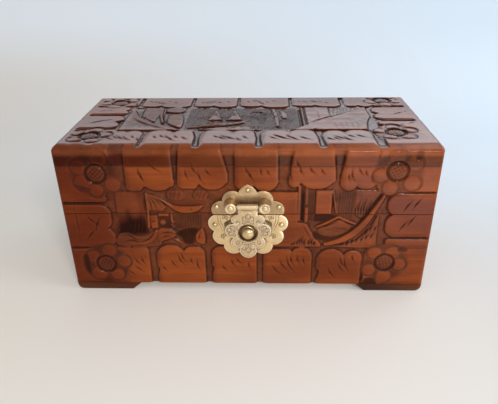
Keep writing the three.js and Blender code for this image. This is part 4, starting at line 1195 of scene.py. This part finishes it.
LACQUER_LONG = carved_lacquer("carved_lacquer_long")
LACQUER_END = carved_lacquer("carved_lacquer_end", math.pi / 2)
# The top board's colour is painted darker and cooler all over, as painted shade
LACQUER_TOP = carved_lacquer("carved_lacquer_top", 0.0, (0.68, 0.72, 0.76, 1), 0.97, 0.2)
LACQUER_FOOT = carved_lacquer("carved_lacquer_foot", 0.0, (0.42, 0.46, 0.5, 1))
BARE_LONG = bare_wood("bare_wood_long")
BARE_END = bare_wood("bare_wood_end", math.pi / 2)
PALE_BRASS = sheet_brass("pale_brass", (0.88, 0.65, 0.35, 1), (0.10, 0.055, 0.025, 1), 0.25, 0.34)
WORN_BRASS = sheet_brass("worn_brass", (0.84, 0.63, 0.38, 1), (0.07, 0.04, 0.022, 1), 0.3, 0.36)
# The upper plate's brass is darker and browner: tarnish, and a painted dark reflection
AGED_SHADED_BRASS = sheet_brass("aged_brass", (0.70, 0.48, 0.265, 1), (0.12, 0.065, 0.035, 1), 0.45, 0.42)
DULL_BRASS = sheet_brass("dull_brass", (0.62, 0.45, 0.24, 1), (0.22, 0.13, 0.07, 1), 0.6, 0.34)
SCREW_STEEL = sheet_brass("screw_steel", (0.60, 0.55, 0.48, 1), (0.22, 0.18, 0.14, 1), 0.5, 0.36)


# ---------------------------------------------------------------- carved boards

CARVINGS = [carve_front(), carve_top(), carve_end(-1, 23), carve_end(1, 29), carve_back()]
SEAM = box_mm("body_front")[1][2]  # height of the seam between body and lid
RIM_DROP = 3.3  # how far the rim of the lid falls away
RIM_FRONT, RIM_BACK, RIM_END = 8.8, 5.5, 3.3  # how far in it starts
RIM_SLOPE, RIM_EDGE = 0.24, 2.6  # at the front, its slope and the radius of its edge
FOOT_EASE = (8.5, 5.8)  # rounding of the feet's outer ends at the floor, along and up
FOOT_STEPS, CORNER_STEPS = 8, 8  # straight pieces round a foot's end and round a corner of the lid
OVERRUN = 1.0  # how far a block runs past the board that it trims
BLOCK_DEPTH = 14  # from a block's carved face to its back
FRONT_STEP, TOP_STEP, BACK_STEP, END_STEP = 0.45, 0.62, 0.6, 0.55  # sizes of the quads


def facing(carving, normals):
    """How much of a face's carving reaches wood that faces along these normals."""
    return smooth((normals @ carving.out - 0.3) / 0.35)


def nearness(carving, places, normals):
    """How far wood that has been carved counts as part of a face."""
    inset = np.append(HALF, CASE_HEIGHT) @ abs(carving.out) - places @ carving.out
    return smooth((normals @ carving.out - 0.02) / 0.25) * smooth((10 - inset) / 3)


def cut_depth(places, normals):
    depth = np.full(len(places), LEAST_CUT)
    for carving in CARVINGS:
        depth = np.maximum(depth, facing(carving, normals) * carving.at(places, carving.depth))
    return depth


def to_frame(places):
    """From millimetres about the middle of the case to metres in the frame."""
    return (places + (0, CASE_MIDDLE_Y, 0)) * MM


def mesh_of(name, vertices, faces):
    mesh = bpy.data.meshes.new(name)
    mesh.from_pydata(np.asarray(vertices).tolist(), [], faces)
    mesh.validate()
    return mesh


def spaced(start, end, step):
    return np.linspace(start, end, max(int(abs(end - start) / step), 1) + 1)


def grid_faces(columns, rows):
    """Quads over a grid whose vertices are numbered up each column in turn."""
    starts = [i * rows + j for i in range(columns - 1) for j in range(rows - 1)]
    return [(start, start + rows, start + rows + 1, start + 1) for start in starts]


def closed_grid(columns, rows):
    """The same grid, closed by four more vertices behind it: low and high at its start and end."""
    faces = grid_faces(columns, rows)
    count = columns * rows
    start_low, start_high, end_low, end_high = range(count, count + 4)
    faces.append([*range(rows - 1, count, rows), end_high, start_high])
    faces.append([*range(0, count, rows)][::-1] + [start_low, end_low])
    faces.append([*range(rows), start_high, start_low])
    faces.append([*range(count - rows, count)][::-1] + [end_low, end_high])
    faces.append([start_low, start_high, end_high, end_low])
    return faces


def rounded_plan(out, step):
    """The outer line of a board seen from above, with its normals, out being where it faces.

    A front or back board goes on round its two corners, an end board stops before them.
    """
    along = np.array((-out[1], out[0]))
    across = abs(out[0]) > 0.5
    half, depth = (HALF[1], HALF[0]) if across else (HALF[0], HALF[1])
    if across:
        places = spaced(-half + EDGE_ROUND, half - EDGE_ROUND, step)
        line = [(place, depth, 0.0) for place in places]
    else:
        turn = spaced(0, math.pi / 2, step / EDGE_ROUND)
        lap = spaced(2 * EDGE_ROUND, EDGE_ROUND, step)
        straight = spaced(-half + EDGE_ROUND, half - EDGE_ROUND, step)
        line = [(-half, depth - back, -math.pi / 2) for back in lap[:-1]]
        line += [
            (-half + EDGE_ROUND * (1 - math.sin(t)), depth - EDGE_ROUND * (1 - math.cos(t)), -t)
            for t in turn[::-1][:-1]
        ]
        line += [(place, depth, 0.0) for place in straight[:-1]]
        corner = len(lap) + len(turn) - 2
        line += [(-place, reach, -angle) for place, reach, angle in line[:corner][::-1]]
        line.insert(corner + len(straight) - 1, (half - EDGE_ROUND, depth, 0.0))
    line = np.array(line)
    places = line[:, :1] * along + line[:, 1:2] * out
    normals = np.sin(line[:, 2:]) * along + np.cos(line[:, 2:]) * out
    return places, normals


def wall_block(name, out, low, high, step):
    """A block whose outer face is the carved one, from one height to another."""
    out = np.array(out, float)
    plan, normals = rounded_plan(out, step)
    heights = spaced(low, high, step)
    columns, rows = len(plan), len(heights)
    places = np.column_stack([np.repeat(plan, rows, 0), np.tile(heights, columns)])
    ways = np.column_stack([np.repeat(normals, rows, 0), np.zeros(columns * rows)])
    carved = places - ways * cut_depth(places, ways)[:, None]
    behind = plan[[0, -1]] - BLOCK_DEPTH * out
    ends = [(*behind[end], height) for end in (0, 1) for height in (low, high)]
    return mesh_of(name, to_frame(np.vstack([carved, ends])), closed_grid(columns, rows))


def rim_profile(reach, sloped):
    """Places out and down the soft rim with their normals, round or, as sloped nears 1, bevelled."""
    turn = spaced(0, math.pi / 2, 0.09)
    soft = np.column_stack([reach * np.sin(turn), RIM_DROP * (np.cos(turn) - 1)])
    tilt = np.maximum(turn, RIM_SLOPE)
    foot = reach - RIM_EDGE * (1 - np.sin(tilt))
    start = reach - RIM_EDGE * (1 - math.sin(RIM_SLOPE))
    fall = start * math.tan(RIM_SLOPE) + RIM_EDGE * (math.cos(RIM_SLOPE) - np.cos(tilt))
    slope = np.minimum(turn / RIM_SLOPE, 1)
    foot = np.where(turn < RIM_SLOPE, start * slope, foot)
    fall = np.where(turn < RIM_SLOPE, start * slope * math.tan(RIM_SLOPE), fall)
    bevelled = np.column_stack([foot, -fall * RIM_DROP / fall[-1]])
    line = soft + sloped * (bevelled - soft)
    step = np.gradient(line, axis=0)
    ways = np.column_stack([-step[:, 1], step[:, 0]])
    return line, ways / np.linalg.norm(ways, axis=1)[:, None]


def lid_rim(pole):
    """Columns round the lid: the vertex each starts from, where it ends and its normal.

    pole gives the vertex of the flat part that is nearest to a place in plan.
    """
    core = HALF - EDGE_ROUND
    arc = np.arange(1, CORNER_STEPS) * (math.pi / 2 / CORNER_STEPS)
    columns = []
    for quarter in range(4):
        turn = quarter * math.pi / 2
        ahead = np.array((round(math.cos(turn)), round(math.sin(turn))))
        normal = np.array((ahead[1], -ahead[0]))
        long = abs(ahead) @ core
        out = abs(normal) @ HALF
        places = spaced(-long, long, TOP_STEP)
        for place in places:
            outer = place * ahead + out * normal
            columns.append((pole(outer), outer, normal))
        centre = abs(core) * (ahead + normal)
        for angle in arc:
            way = math.sin(angle) * ahead + math.cos(angle) * normal
            columns.append((pole(centre), centre + EDGE_ROUND * way, way))
    return columns


def lid_block(name, low, step):
    """A block whose top, soft rim and sides are carved, down to a height."""
    across = spaced(RIM_END - HALF[0], HALF[0] - RIM_END, step)
    deep = spaced(RIM_FRONT - HALF[1], HALF[1] - RIM_BACK, step)
    columns, rows = len(across), len(deep)
    flat = np.array([(x, y, CASE_HEIGHT) for x in across for y in deep])

    def pole(place):
        return np.abs(across - place[0]).argmin() * rows + np.abs(deep - place[1]).argmin()

    faces = grid_faces(columns, rows)
    rim = lid_rim(pole)
    heights = spaced(CASE_HEIGHT - RIM_DROP, low, step)[1:]
    places, ways = [flat], [np.tile((0.0, 0.0, 1.0), (len(flat), 1))]
    for start, outer, normal in rim:
        inner = flat[start][:2]
        reach = max(np.linalg.norm(outer - inner), 1e-6)
        line, turns = rim_profile(reach, max(-normal[1], 0.0) ** 2)
        over = inner + line[1:, :1] / reach * (outer - inner)
        places.append(np.column_stack([over, CASE_HEIGHT + line[1:, 1]]))
        ways.append(np.column_stack([turns[1:, :1] * normal, turns[1:, 1]]))
        places.append(np.column_stack([np.tile(outer, (len(heights), 1)), heights]))
        ways.append(np.tile((*normal, 0.0), (len(heights), 1)))
    places, ways = np.vstack(places), np.vstack(ways)
    carved = places - ways * cut_depth(places, ways)[:, None]
    first = len(flat)
    depth = (len(places) - first) // len(rim)

    def below(column, row):
        return rim[column][0] if row < 0 else first + column * depth + row

    for column in range(len(rim)):
        after = (column + 1) % len(rim)
        for row in range(-1, depth - 1):
            corners = [below(column, row), below(column, row + 1)]
            corners += [below(after, row + 1), below(after, row)]
            if corners[0] == corners[3]:
                corners.pop()
            faces.append(corners)
    faces.append([below(column, depth - 1) for column in range(len(rim))][::-1])
    return mesh_of(name, to_frame(carved), faces)


def trimmed(prefix, node_name, block):
    """What a block leaves of a closed copy of a node's mesh."""
    mesh = frame["nodes"][node_name].data.copy()
    shape = bmesh.new()
    shape.from_mesh(mesh)
    bmesh.ops.remove_doubles(shape, verts=shape.verts, dist=1e-7)
    bmesh.ops.recalc_face_normals(shape, faces=shape.faces)
    shape.to_mesh(mesh)
    shape.free()
    piece = make_object(prefix + node_name, mesh)
    helper = make_object("helper", block)
    change = piece.modifiers.new("change", "BOOLEAN")
    change.operation, change.solver, change.object = "INTERSECT", "MANIFOLD", helper
    bpy.context.view_layer.update()
    evaluated = piece.evaluated_get(bpy.context.evaluated_depsgraph_get())
    made = bpy.data.meshes.new_from_object(evaluated)
    piece.modifiers.clear()
    piece.data = made
    bpy.data.objects.remove(helper)
    bpy.data.meshes.remove(block)
    return piece


def triples(items, name):
    """A three-part property of many items, one row for each."""
    values = np.empty(len(items) * 3, np.float32)
    items.foreach_get(name, values)
    return values.reshape(-1, 3)


def corner_places(mesh):
    places, normals = triples(mesh.vertices, "co"), triples(mesh.vertex_normals, "vector")
    return places.astype(float), normals.astype(float)


def write_attribute(mesh, name, values):
    made = mesh.attributes.new(name, "FLOAT", "POINT")
    made.data.foreach_set("value", values.astype(np.float32))


def mark_carving(mesh):
    """Writes the cut, the stain and painted shade, the grime and painted shade, the worn edges and
    painted highlights, and the darker tone onto a board's vertices.
    """
    places, normals = corner_places(mesh)
    case = places / MM - (0, CASE_MIDDLE_Y, 0)
    for name, reach in (("depth", 1 / GROUND), ("stain", 1), ("dirt", 1), ("worn", 1), ("aged", 1)):
        values = np.zeros(len(case))
        for carving in CARVINGS:
            raster = getattr(carving, name) * reach
            values = np.maximum(values, nearness(carving, case, normals) * carving.at(case, raster))
        write_attribute(mesh, "cut" if name == "depth" else name, values)


def give(piece, *materials):
    piece.data.materials.clear()
    for material in materials:
        piece.data.materials.append(material)


def stand_in(piece, node_name, material=None, sharp=None):
    """Puts a piece in a node's place, and may give it a material and smooth it up to an angle."""
    if material:
        give(piece, material)
    if sharp:
        piece.data.shade_smooth()
        piece.data.set_sharp_from_angle(angle=math.radians(sharp))
    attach(piece, node_body[node_name])
    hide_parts(node_name)


def carve_board(node_name, block, outside, inside):
    """Trims a board with a carved block and stands it in for the board."""
    piece = trimmed("carved_", node_name, block)
    mark_carving(piece.data)
    give(piece, outside, inside)
    finish_faces(piece.data)
    stand_in(piece, node_name)


def finish_faces(mesh):
    """Bare wood on the sawn and planed faces inside, lacquer on the outer ones."""
    centres = triples(mesh.polygons, "center") / MM - (0, CASE_MIDDLE_Y, 0)
    normals = triples(mesh.polygons, "normal")
    near = 3.2  # the carved faces lie less than this far in from the outside
    outer = np.zeros(len(centres), bool)
    for axis, sign, reach in ((0, 1, HALF[0]), (0, -1, HALF[0]), (1, 1, HALF[1]), (1, -1, HALF[1])):
        outer |= (normals[:, axis] * sign > 0.05) & (centres[:, axis] * sign > reach - near)
    outer |= (normals[:, 2] > 0.05) & (centres[:, 2] > CASE_HEIGHT - near)
    outer |= (abs(normals[:, 2]) > 0.9) & (abs(centres[:, 2] - SEAM) < 0.5)
    mesh.polygons.foreach_set("material_index", (~outer).astype(np.int32))
    mesh.set_sharp_from_angle(angle=math.radians(50))
    planed = ~outer | (abs(normals[:, 2]) > 0.9) & (centres[:, 2] < CASE_HEIGHT - near)
    mesh.polygons.foreach_set("use_smooth", ~planed)


def ease_foot(node_name):
    """Rounds a foot where its outer end meets the floor."""
    low, high = box_mm(node_name)
    hand = 1 if low[0] + high[0] > 0 else -1
    end, inner = (high[0], low[0]) if hand > 0 else (low[0], high[0])
    outline = [(inner - hand * 2, high[2] + 1), (end + hand, high[2] + 1), (end + hand, FOOT_EASE[1])]
    for step in range(FOOT_STEPS + 1):
        angle = math.pi / 2 * step / FOOT_STEPS
        x = end - hand * FOOT_EASE[0] * (1 - math.cos(angle))
        outline.append((x, FOOT_EASE[1] * (1 - math.sin(angle))))
    outline.append((inner - hand * 2, 0.0))
    count = len(outline)
    vertices = [(x, y, z) for y in (low[1] - 1, high[1] + 1) for x, z in outline]
    faces = [list(range(count))[::hand], list(range(count, 2 * count))[::-hand]]
    for index in range(count):
        after = (index + 1) % count
        faces.append([index, index + count, after + count, after][::hand])
    block = mesh_of("foot_block", np.array(vertices) * MM, faces)
    piece = trimmed("eased_", node_name, block)
    piece.data.set_sharp_from_angle(angle=math.radians(38))
    stand_in(piece, node_name, LACQUER_FOOT)


def build_case():
    along, across = (LACQUER_LONG, BARE_LONG), (LACQUER_END, BARE_END)
    sides = (
        ("front", (0, -1), FRONT_STEP, along), ("back", (0, 1), BACK_STEP, along),
        ("left", (-1, 0), END_STEP, across), ("right", (1, 0), END_STEP, across),
    )
    for part in ("body", "lid"):
        for side, out, step, materials in sides:
            board = f"{part}_{side}"
            low, high = box_mm(board)
            block = wall_block(board, out, low[2] - OVERRUN, high[2] + OVERRUN, step)
            carve_board(board, block, *materials)
    block = lid_block("lid_top", top_low[2] - OVERRUN, TOP_STEP)
    carve_board("lid_top", block, LACQUER_TOP, BARE_LONG)
    for node_name, cad in frame["nodes"].items():
        if node_name.startswith("foot_"):
            ease_foot(node_name)
        elif node_name in ("body_bottom", "tray_bottom", "tray_front", "tray_back"):
            give(cad, BARE_LONG)
        elif node_name.startswith(("bearer", "tray")):
            give(cad, BARE_END)
        elif "screw" in node_name or node_name.endswith("_pin"):
            give(cad, SCREW_STEEL)
        elif node_name.startswith("hinge"):
            give(cad, DULL_BRASS)


# ---------------------------------------------------------------- latch: engraved brass

BRASS_SQUARE = 0.14  # side of the squares on which an engraving is worked out
LINE, LINE_DEPTH = 0.7, 0.18  # width and depth of an engraved line
PLATE_STEP, HASP_STEP = 0.3, 0.25  # sizes of the quads over the sheets
SHEET_MARGIN = 0.6  # how far a block runs past the sheet that it trims
DOME_STEPS = 8


def middle_of(node_name):
    """The middle of a part as seen from the front."""
    low, high = box_mm(node_name)
    return (low[0] + high[0]) / 2, (low[2] + high[2]) / 2


PIN_X, PIN_Z = middle_of("latch_pin")
KNOB = middle_of("latch_knob")
NAILS = [name for name in frame["nodes"] if name.startswith("latch_nail_")]
POSTS = ("latch_post_left", "latch_post_right")
plate_low, plate_high = box_mm("latch_lower_plate")
upper_low, upper_high = box_mm("latch_upper_plate")
PLATE_FRONT = plate_low[1]
ROSETTE_RADIUS = (plate_high[0] - plate_low[0]) / 2
ROSETTE_Z = plate_low[2] + ROSETTE_RADIUS
LOBES = 12
CREST = 3  # the lobe at the top, which stands out further
CREST_RISE = 1.0
LOBE_RADIUS = 0.254 * ROSETTE_RADIUS


def rosette():
    """The outline of the flower that both plates make together, with its higher crest."""
    reach = ROSETTE_RADIUS - LOBE_RADIUS
    parts = [disc(PIN_X, ROSETTE_Z, reach + 0.9)]
    for index in range(LOBES):
        out = reach + (CREST_RISE if index == CREST else 0.0)
        parts.append(disc(*away(PIN_X, ROSETTE_Z, out, math.tau * index / LOBES), LOBE_RADIUS))
    return union(*parts)


def hasp_outline(grow=0.0):
    """The neck and the seven lobes of the hasp; the neck is narrower than the barrel."""
    neck = 6.6
    parts = [rounded(PIN_X - neck - grow, PIN_Z - 20, PIN_X + neck + grow, PIN_Z + 2, 1.0)]
    parts.append(disc(PIN_X, PIN_Z - 20.9, 10.5 + grow))
    for x, drop, radius in ((7.6, 10.2, 3.7), (10, 18.9, 5.6), (7.3, 28.3, 4.6), (0, 34.7, 5.9)):
        parts.append(disc(PIN_X + x, PIN_Z - drop, radius + grow))
        parts.append(disc(PIN_X - x, PIN_Z - drop, radius + grow))
    return union(*parts)


def brass_face(low, high):
    corners = (low[0] - 1, low[2] - 1), (high[0] + 1, high[2] + 1)
    everywhere = rounded(-500, -500, 500, 500, 1)
    return Carving((0, 2), (0, -1, 0), *corners, everywhere, depth=0.03, square=BRASS_SQUARE)


def engrave(face, *lines, width=LINE, depth=LINE_DEPTH, stain=1.0):
    for points in lines:
        face.groove(points, width, depth, stain, taper=(0.7, 0.7))


def contour(face, outline, inset, stain, only):
    """A line that follows an outline at a distance inside it, where only isn't 0."""
    distance = outline[1](face.a, face.b)
    cut = smooth(1 - abs(distance + inset) / (LINE / 2 + BRASS_SQUARE)) * only
    face.depth += LINE_DEPTH * cut
    face.stain = np.maximum(face.stain, stain * cut)


def eased_rim(face, outline, width, drop):
    """The rim falls away over its last part, as beaten sheet does."""
    distance = outline[1](face.a, face.b)
    face.depth += drop * smooth(1 + distance / width) ** 1.5


def loop(a, b, turn, length, width):
    """A petal-shaped loop that starts and ends at a point."""
    ahead = np.array((math.cos(turn), math.sin(turn)))
    aside = np.array((-ahead[1], ahead[0]))
    shape = ((0, 0), (0.3, 0.42), (0.72, 0.5), (1, 0), (0.72, -0.5), (0.3, -0.42), (0, 0))
    return [tuple(np.array((a, b)) + length * s * ahead + width * t * aside) for s, t in shape]


def sprig(face, a, b, turn, size):
    """Three loops that fan out from a point, with a curl on both sides."""
    for lean, share in ((-0.75, 0.85), (0, 1.0), (0.75, 0.85)):
        engrave(face, loop(a, b, turn + lean, size * share, size * 0.5))
    for side in (-1, 1):
        way = turn + side * 1.9
        bend = away(a, b, 0.6 * size, way)
        engrave(face, [away(a, b, 0.2 * size, way), bend, away(*bend, 0.35 * size, turn)])


def dots(face, outline, count, seed):
    """Punch marks scattered inside an outline."""
    chance = np.random.default_rng(seed)
    box, distance = outline
    for _ in range(count):
        a, b = chance.uniform(box[0], box[2]), chance.uniform(box[1], box[3])
        if distance(np.array([a]), np.array([b]))[0] < -0.7:
            turn = chance.uniform(0, math.tau)
            reach = 0.35 * np.array((math.cos(turn), math.sin(turn)))
            ends = (a - reach[0], b - reach[1]), (a + reach[0], b + reach[1])
            engrave(face, [ends[0], (a, b + 0.1), ends[1]], stain=0.55)


def hammered(face, amount, seed):
    face.depth += amount * ripple(face.depth.shape, 24, seed)


def engrave_lower_plate():
    face = brass_face(plate_low, plate_high)
    hammered(face, 0.035, 31)
    eased_rim(face, rosette(), 1.5, 0.36)
    for side in (-1, 1):
        for line in (((20.2, 7), (19.9, 13.4), (17.2, 19.6)), ((18.7, 7), (18.2, 13.4), (15.8, 19.6))):
            engrave(face, [(PIN_X + side * across, PIN_Z - drop) for across, drop in line])
        for across, drop, turn in ((15.6, 10.4, 0.9), (16.2, 24.6, -0.3)):
            sprig(face, PIN_X + side * across, PIN_Z - drop, math.pi / 2 + side * (turn - 0.6), 2.8)
        # Painted shadow in the gaps under the hasp's notches, which sink a little
        notch = [(11, -12), (13.8, -12.2), (15.8, -14.2), (15.6, -17.2), (13.4, -15.4)]
        gap = blob(*[(PIN_X + side * across, PIN_Z + rise) for across, rise in notch])
        face.level(gap, 0.5, wall=0.8)
        face.shade(gap, 1.0, wall=1.2)
    shadow = hasp_outline(1.0)
    face.shade(shadow, 0.6, wall=2.2)
    # Painted shade in the hasp's hole round the knob
    face.shade(disc(*KNOB, 7.6), 1.0, wall=1.0)
    nail_halos(face)
    face.finish()
    paint_rim_highlight(face, rosette())
    return face


def paint_rim_highlight(face, outline, only=1.0):
    """A painted highlight: a narrow lighter line along the rim."""
    rim = smooth(1 - abs(outline[1](face.a, face.b) + 0.55) / 0.6)
    face.worn = np.maximum(face.worn, 0.22 * rim * only)


def nail_halos(face):
    for nail in NAILS:
        face.shade(disc(*middle_of(nail), 2.1), 0.6, wall=1.0)


def engrave_upper_plate():
    face = brass_face(upper_low, upper_high)
    hammered(face, 0.05, 37)
    eased_rim(face, rosette(), 1.6, 0.36)
    # Painted shade and tarnish behind the barrel and between the posts, and painted shade round each
    # post
    face.shade(rounded(PIN_X - 9, PIN_Z - 6, PIN_X + 9, PIN_Z + 6.5, 2), 0.75, wall=4.0)
    face.shade(rounded(PIN_X - 24, PIN_Z - 9, PIN_X + 24, PIN_Z + 3.5, 2), 0.4, wall=6.0)
    for post in POSTS:
        face.shade(disc(*middle_of(post), 4.8), 0.8, wall=1.6)
    nail_halos(face)
    return face.finish()


def engrave_hasp():
    face = brass_face(*box_mm("hasp"))
    hammered(face, 0.03, 41)
    outline = hasp_outline()
    below = smooth((PIN_Z - 7.5 - face.b) / 1.5)
    eased_rim(face, outline, 0.9, 0.3)
    contour(face, outline, 1.0, 0.5, below)
    # Painted shade round the edge of the hole, over the knob
    face.shade(disc(*KNOB, 6.9), 1.0, wall=0.8)
    sprig(face, PIN_X, PIN_Z - 12.2, math.pi / 2, 6.2)
    sprig(face, PIN_X, PIN_Z - 29.2, -math.pi / 2, 7.0)
    for side in (-1, 1):
        sprig(face, PIN_X + side * 9.0, PIN_Z - 19.2, math.pi / 2 - side * 1.35, 5.6)
        engrave(face, loop(PIN_X + side * 6.4, PIN_Z - 26.6, -math.pi / 2 + side * 0.5, 3.2, 1.8))
        engrave(face, loop(PIN_X + side * 5.6, PIN_Z - 13.6, math.pi / 2 - side * 0.7, 3.0, 1.6))
    dots(face, hasp_outline(-1.2), 150, 43)
    face.finish()
    paint_rim_highlight(face, outline, below)
    return face


def relief_block(name, face, front, step, leave_above):
    """A block behind an engraved front; above a height it stands clear of the part."""
    low, high = box_mm(name)
    across = spaced(low[0] - SHEET_MARGIN, high[0] + SHEET_MARGIN, step)
    heights = spaced(low[2] - SHEET_MARGIN, high[2] + SHEET_MARGIN, step)
    places = np.array([(x, front, z) for x in across for z in heights])
    places[:, 1] += face.at(places, face.depth)
    if leave_above is not None:
        places[places[:, 2] > leave_above, 1] = front - 9
    ends = [(x, high[1] + 3, z) for x in (across[0], across[-1]) for z in (heights[0], heights[-1])]
    return mesh_of(name, np.vstack([places, ends]) * MM, closed_grid(len(across), len(heights)))


def engraved_sheet(node_name, face, front, step, material, leave_above=None):
    block = relief_block(node_name, face, front, step, leave_above)
    piece = trimmed("engraved_", node_name, block)
    places, normals = corner_places(piece.data)
    towards = smooth(-normals[:, 1] * 2.5 - 0.6)
    near = smooth(1 - abs(places[:, 1] / MM - front - 0.2) / 1.2)
    for name in ("stain", "dirt", "worn"):
        write_attribute(piece.data, name, face.at(places / MM, getattr(face, name)) * towards * near)
    stand_in(piece, node_name, material, 40)


def turned(node_name, profile, material, sides=48):
    """A turned part that stands on the plate; profile goes from its foot to its top."""
    low, high = box_mm(node_name)
    x, z = middle_of(node_name)
    foot, top = PLATE_FRONT + 0.3, low[1]
    reach = (high[0] - low[0]) / 2
    tallest = max(height for radius, height in profile)
    vertices, faces = [], []
    for radius, height in profile:
        y = foot + (top - foot) * height / tallest
        for index in range(sides):
            angle = math.tau * index / sides
            across, up = away(x, z, reach * radius, angle)
            vertices.append((across, y, up))
    last = len(vertices) - sides
    for ring in range(0, last, sides):
        for index in range(sides):
            a, b = ring + index, ring + (index + 1) % sides
            faces.append((a, b, b + sides, a + sides))
    faces.append([*range(sides)][::-1])
    faces.append([*range(last, len(vertices))])
    piece = make_object("turned_" + node_name, mesh_of(node_name, np.array(vertices) * MM, faces))
    stand_in(piece, node_name, material, 38)


def dome(foot):
    """The profile of a dome of radius 1 from the height of its foot up to 1."""
    angles = [math.pi / 2 * index / DOME_STEPS for index in range(1, DOME_STEPS + 1)]
    return [(max(math.cos(t), 0.02), foot + (1 - foot) * math.sin(t)) for t in angles]


def build_latch():
    engraved_sheet("latch_lower_plate", engrave_lower_plate(), PLATE_FRONT, PLATE_STEP, PALE_BRASS)
    engraved_sheet("latch_upper_plate", engrave_upper_plate(), upper_low[1], PLATE_STEP, AGED_SHADED_BRASS)
    leaf = np.array([vertex.co for vertex in frame["nodes"]["hasp"].data.vertices]) / MM
    front = leaf[leaf[:, 2] < PIN_Z - 6][:, 1].min()
    engraved_sheet("hasp", engrave_hasp(), front, HASP_STEP, WORN_BRASS, PIN_Z - 3.4)
    button = [(0.94, 0), (0.94, 0.7), (1, 0.74), (1, 0.86), (0.95, 0.92), (0.84, 0.955), (0.66, 0.96)]
    button += [(0.56, 0.93), (0.48, 0.93), (0.42, 0.965), (0.26, 0.99), (0.12, 1.0), (0.02, 1.0)]
    for post in POSTS:
        turned(post, button, WORN_BRASS)
    knob = [(0.96, 0), (1, 0.03), (1, 0.1), (0.9, 0.14), (0.9, 0.42), (0.97, 0.48), (1, 0.56)]
    turned("latch_knob", knob + dome(0.56), PALE_BRASS)
    for nail in NAILS:
        turned(nail, [(1, 0), (1, 0.24)] + dome(0.24), PALE_BRASS, sides=28)


# ---------------------------------------------------------------- assembly

place_camera()
light_scene()
build_stage()
build_case()
build_latch()
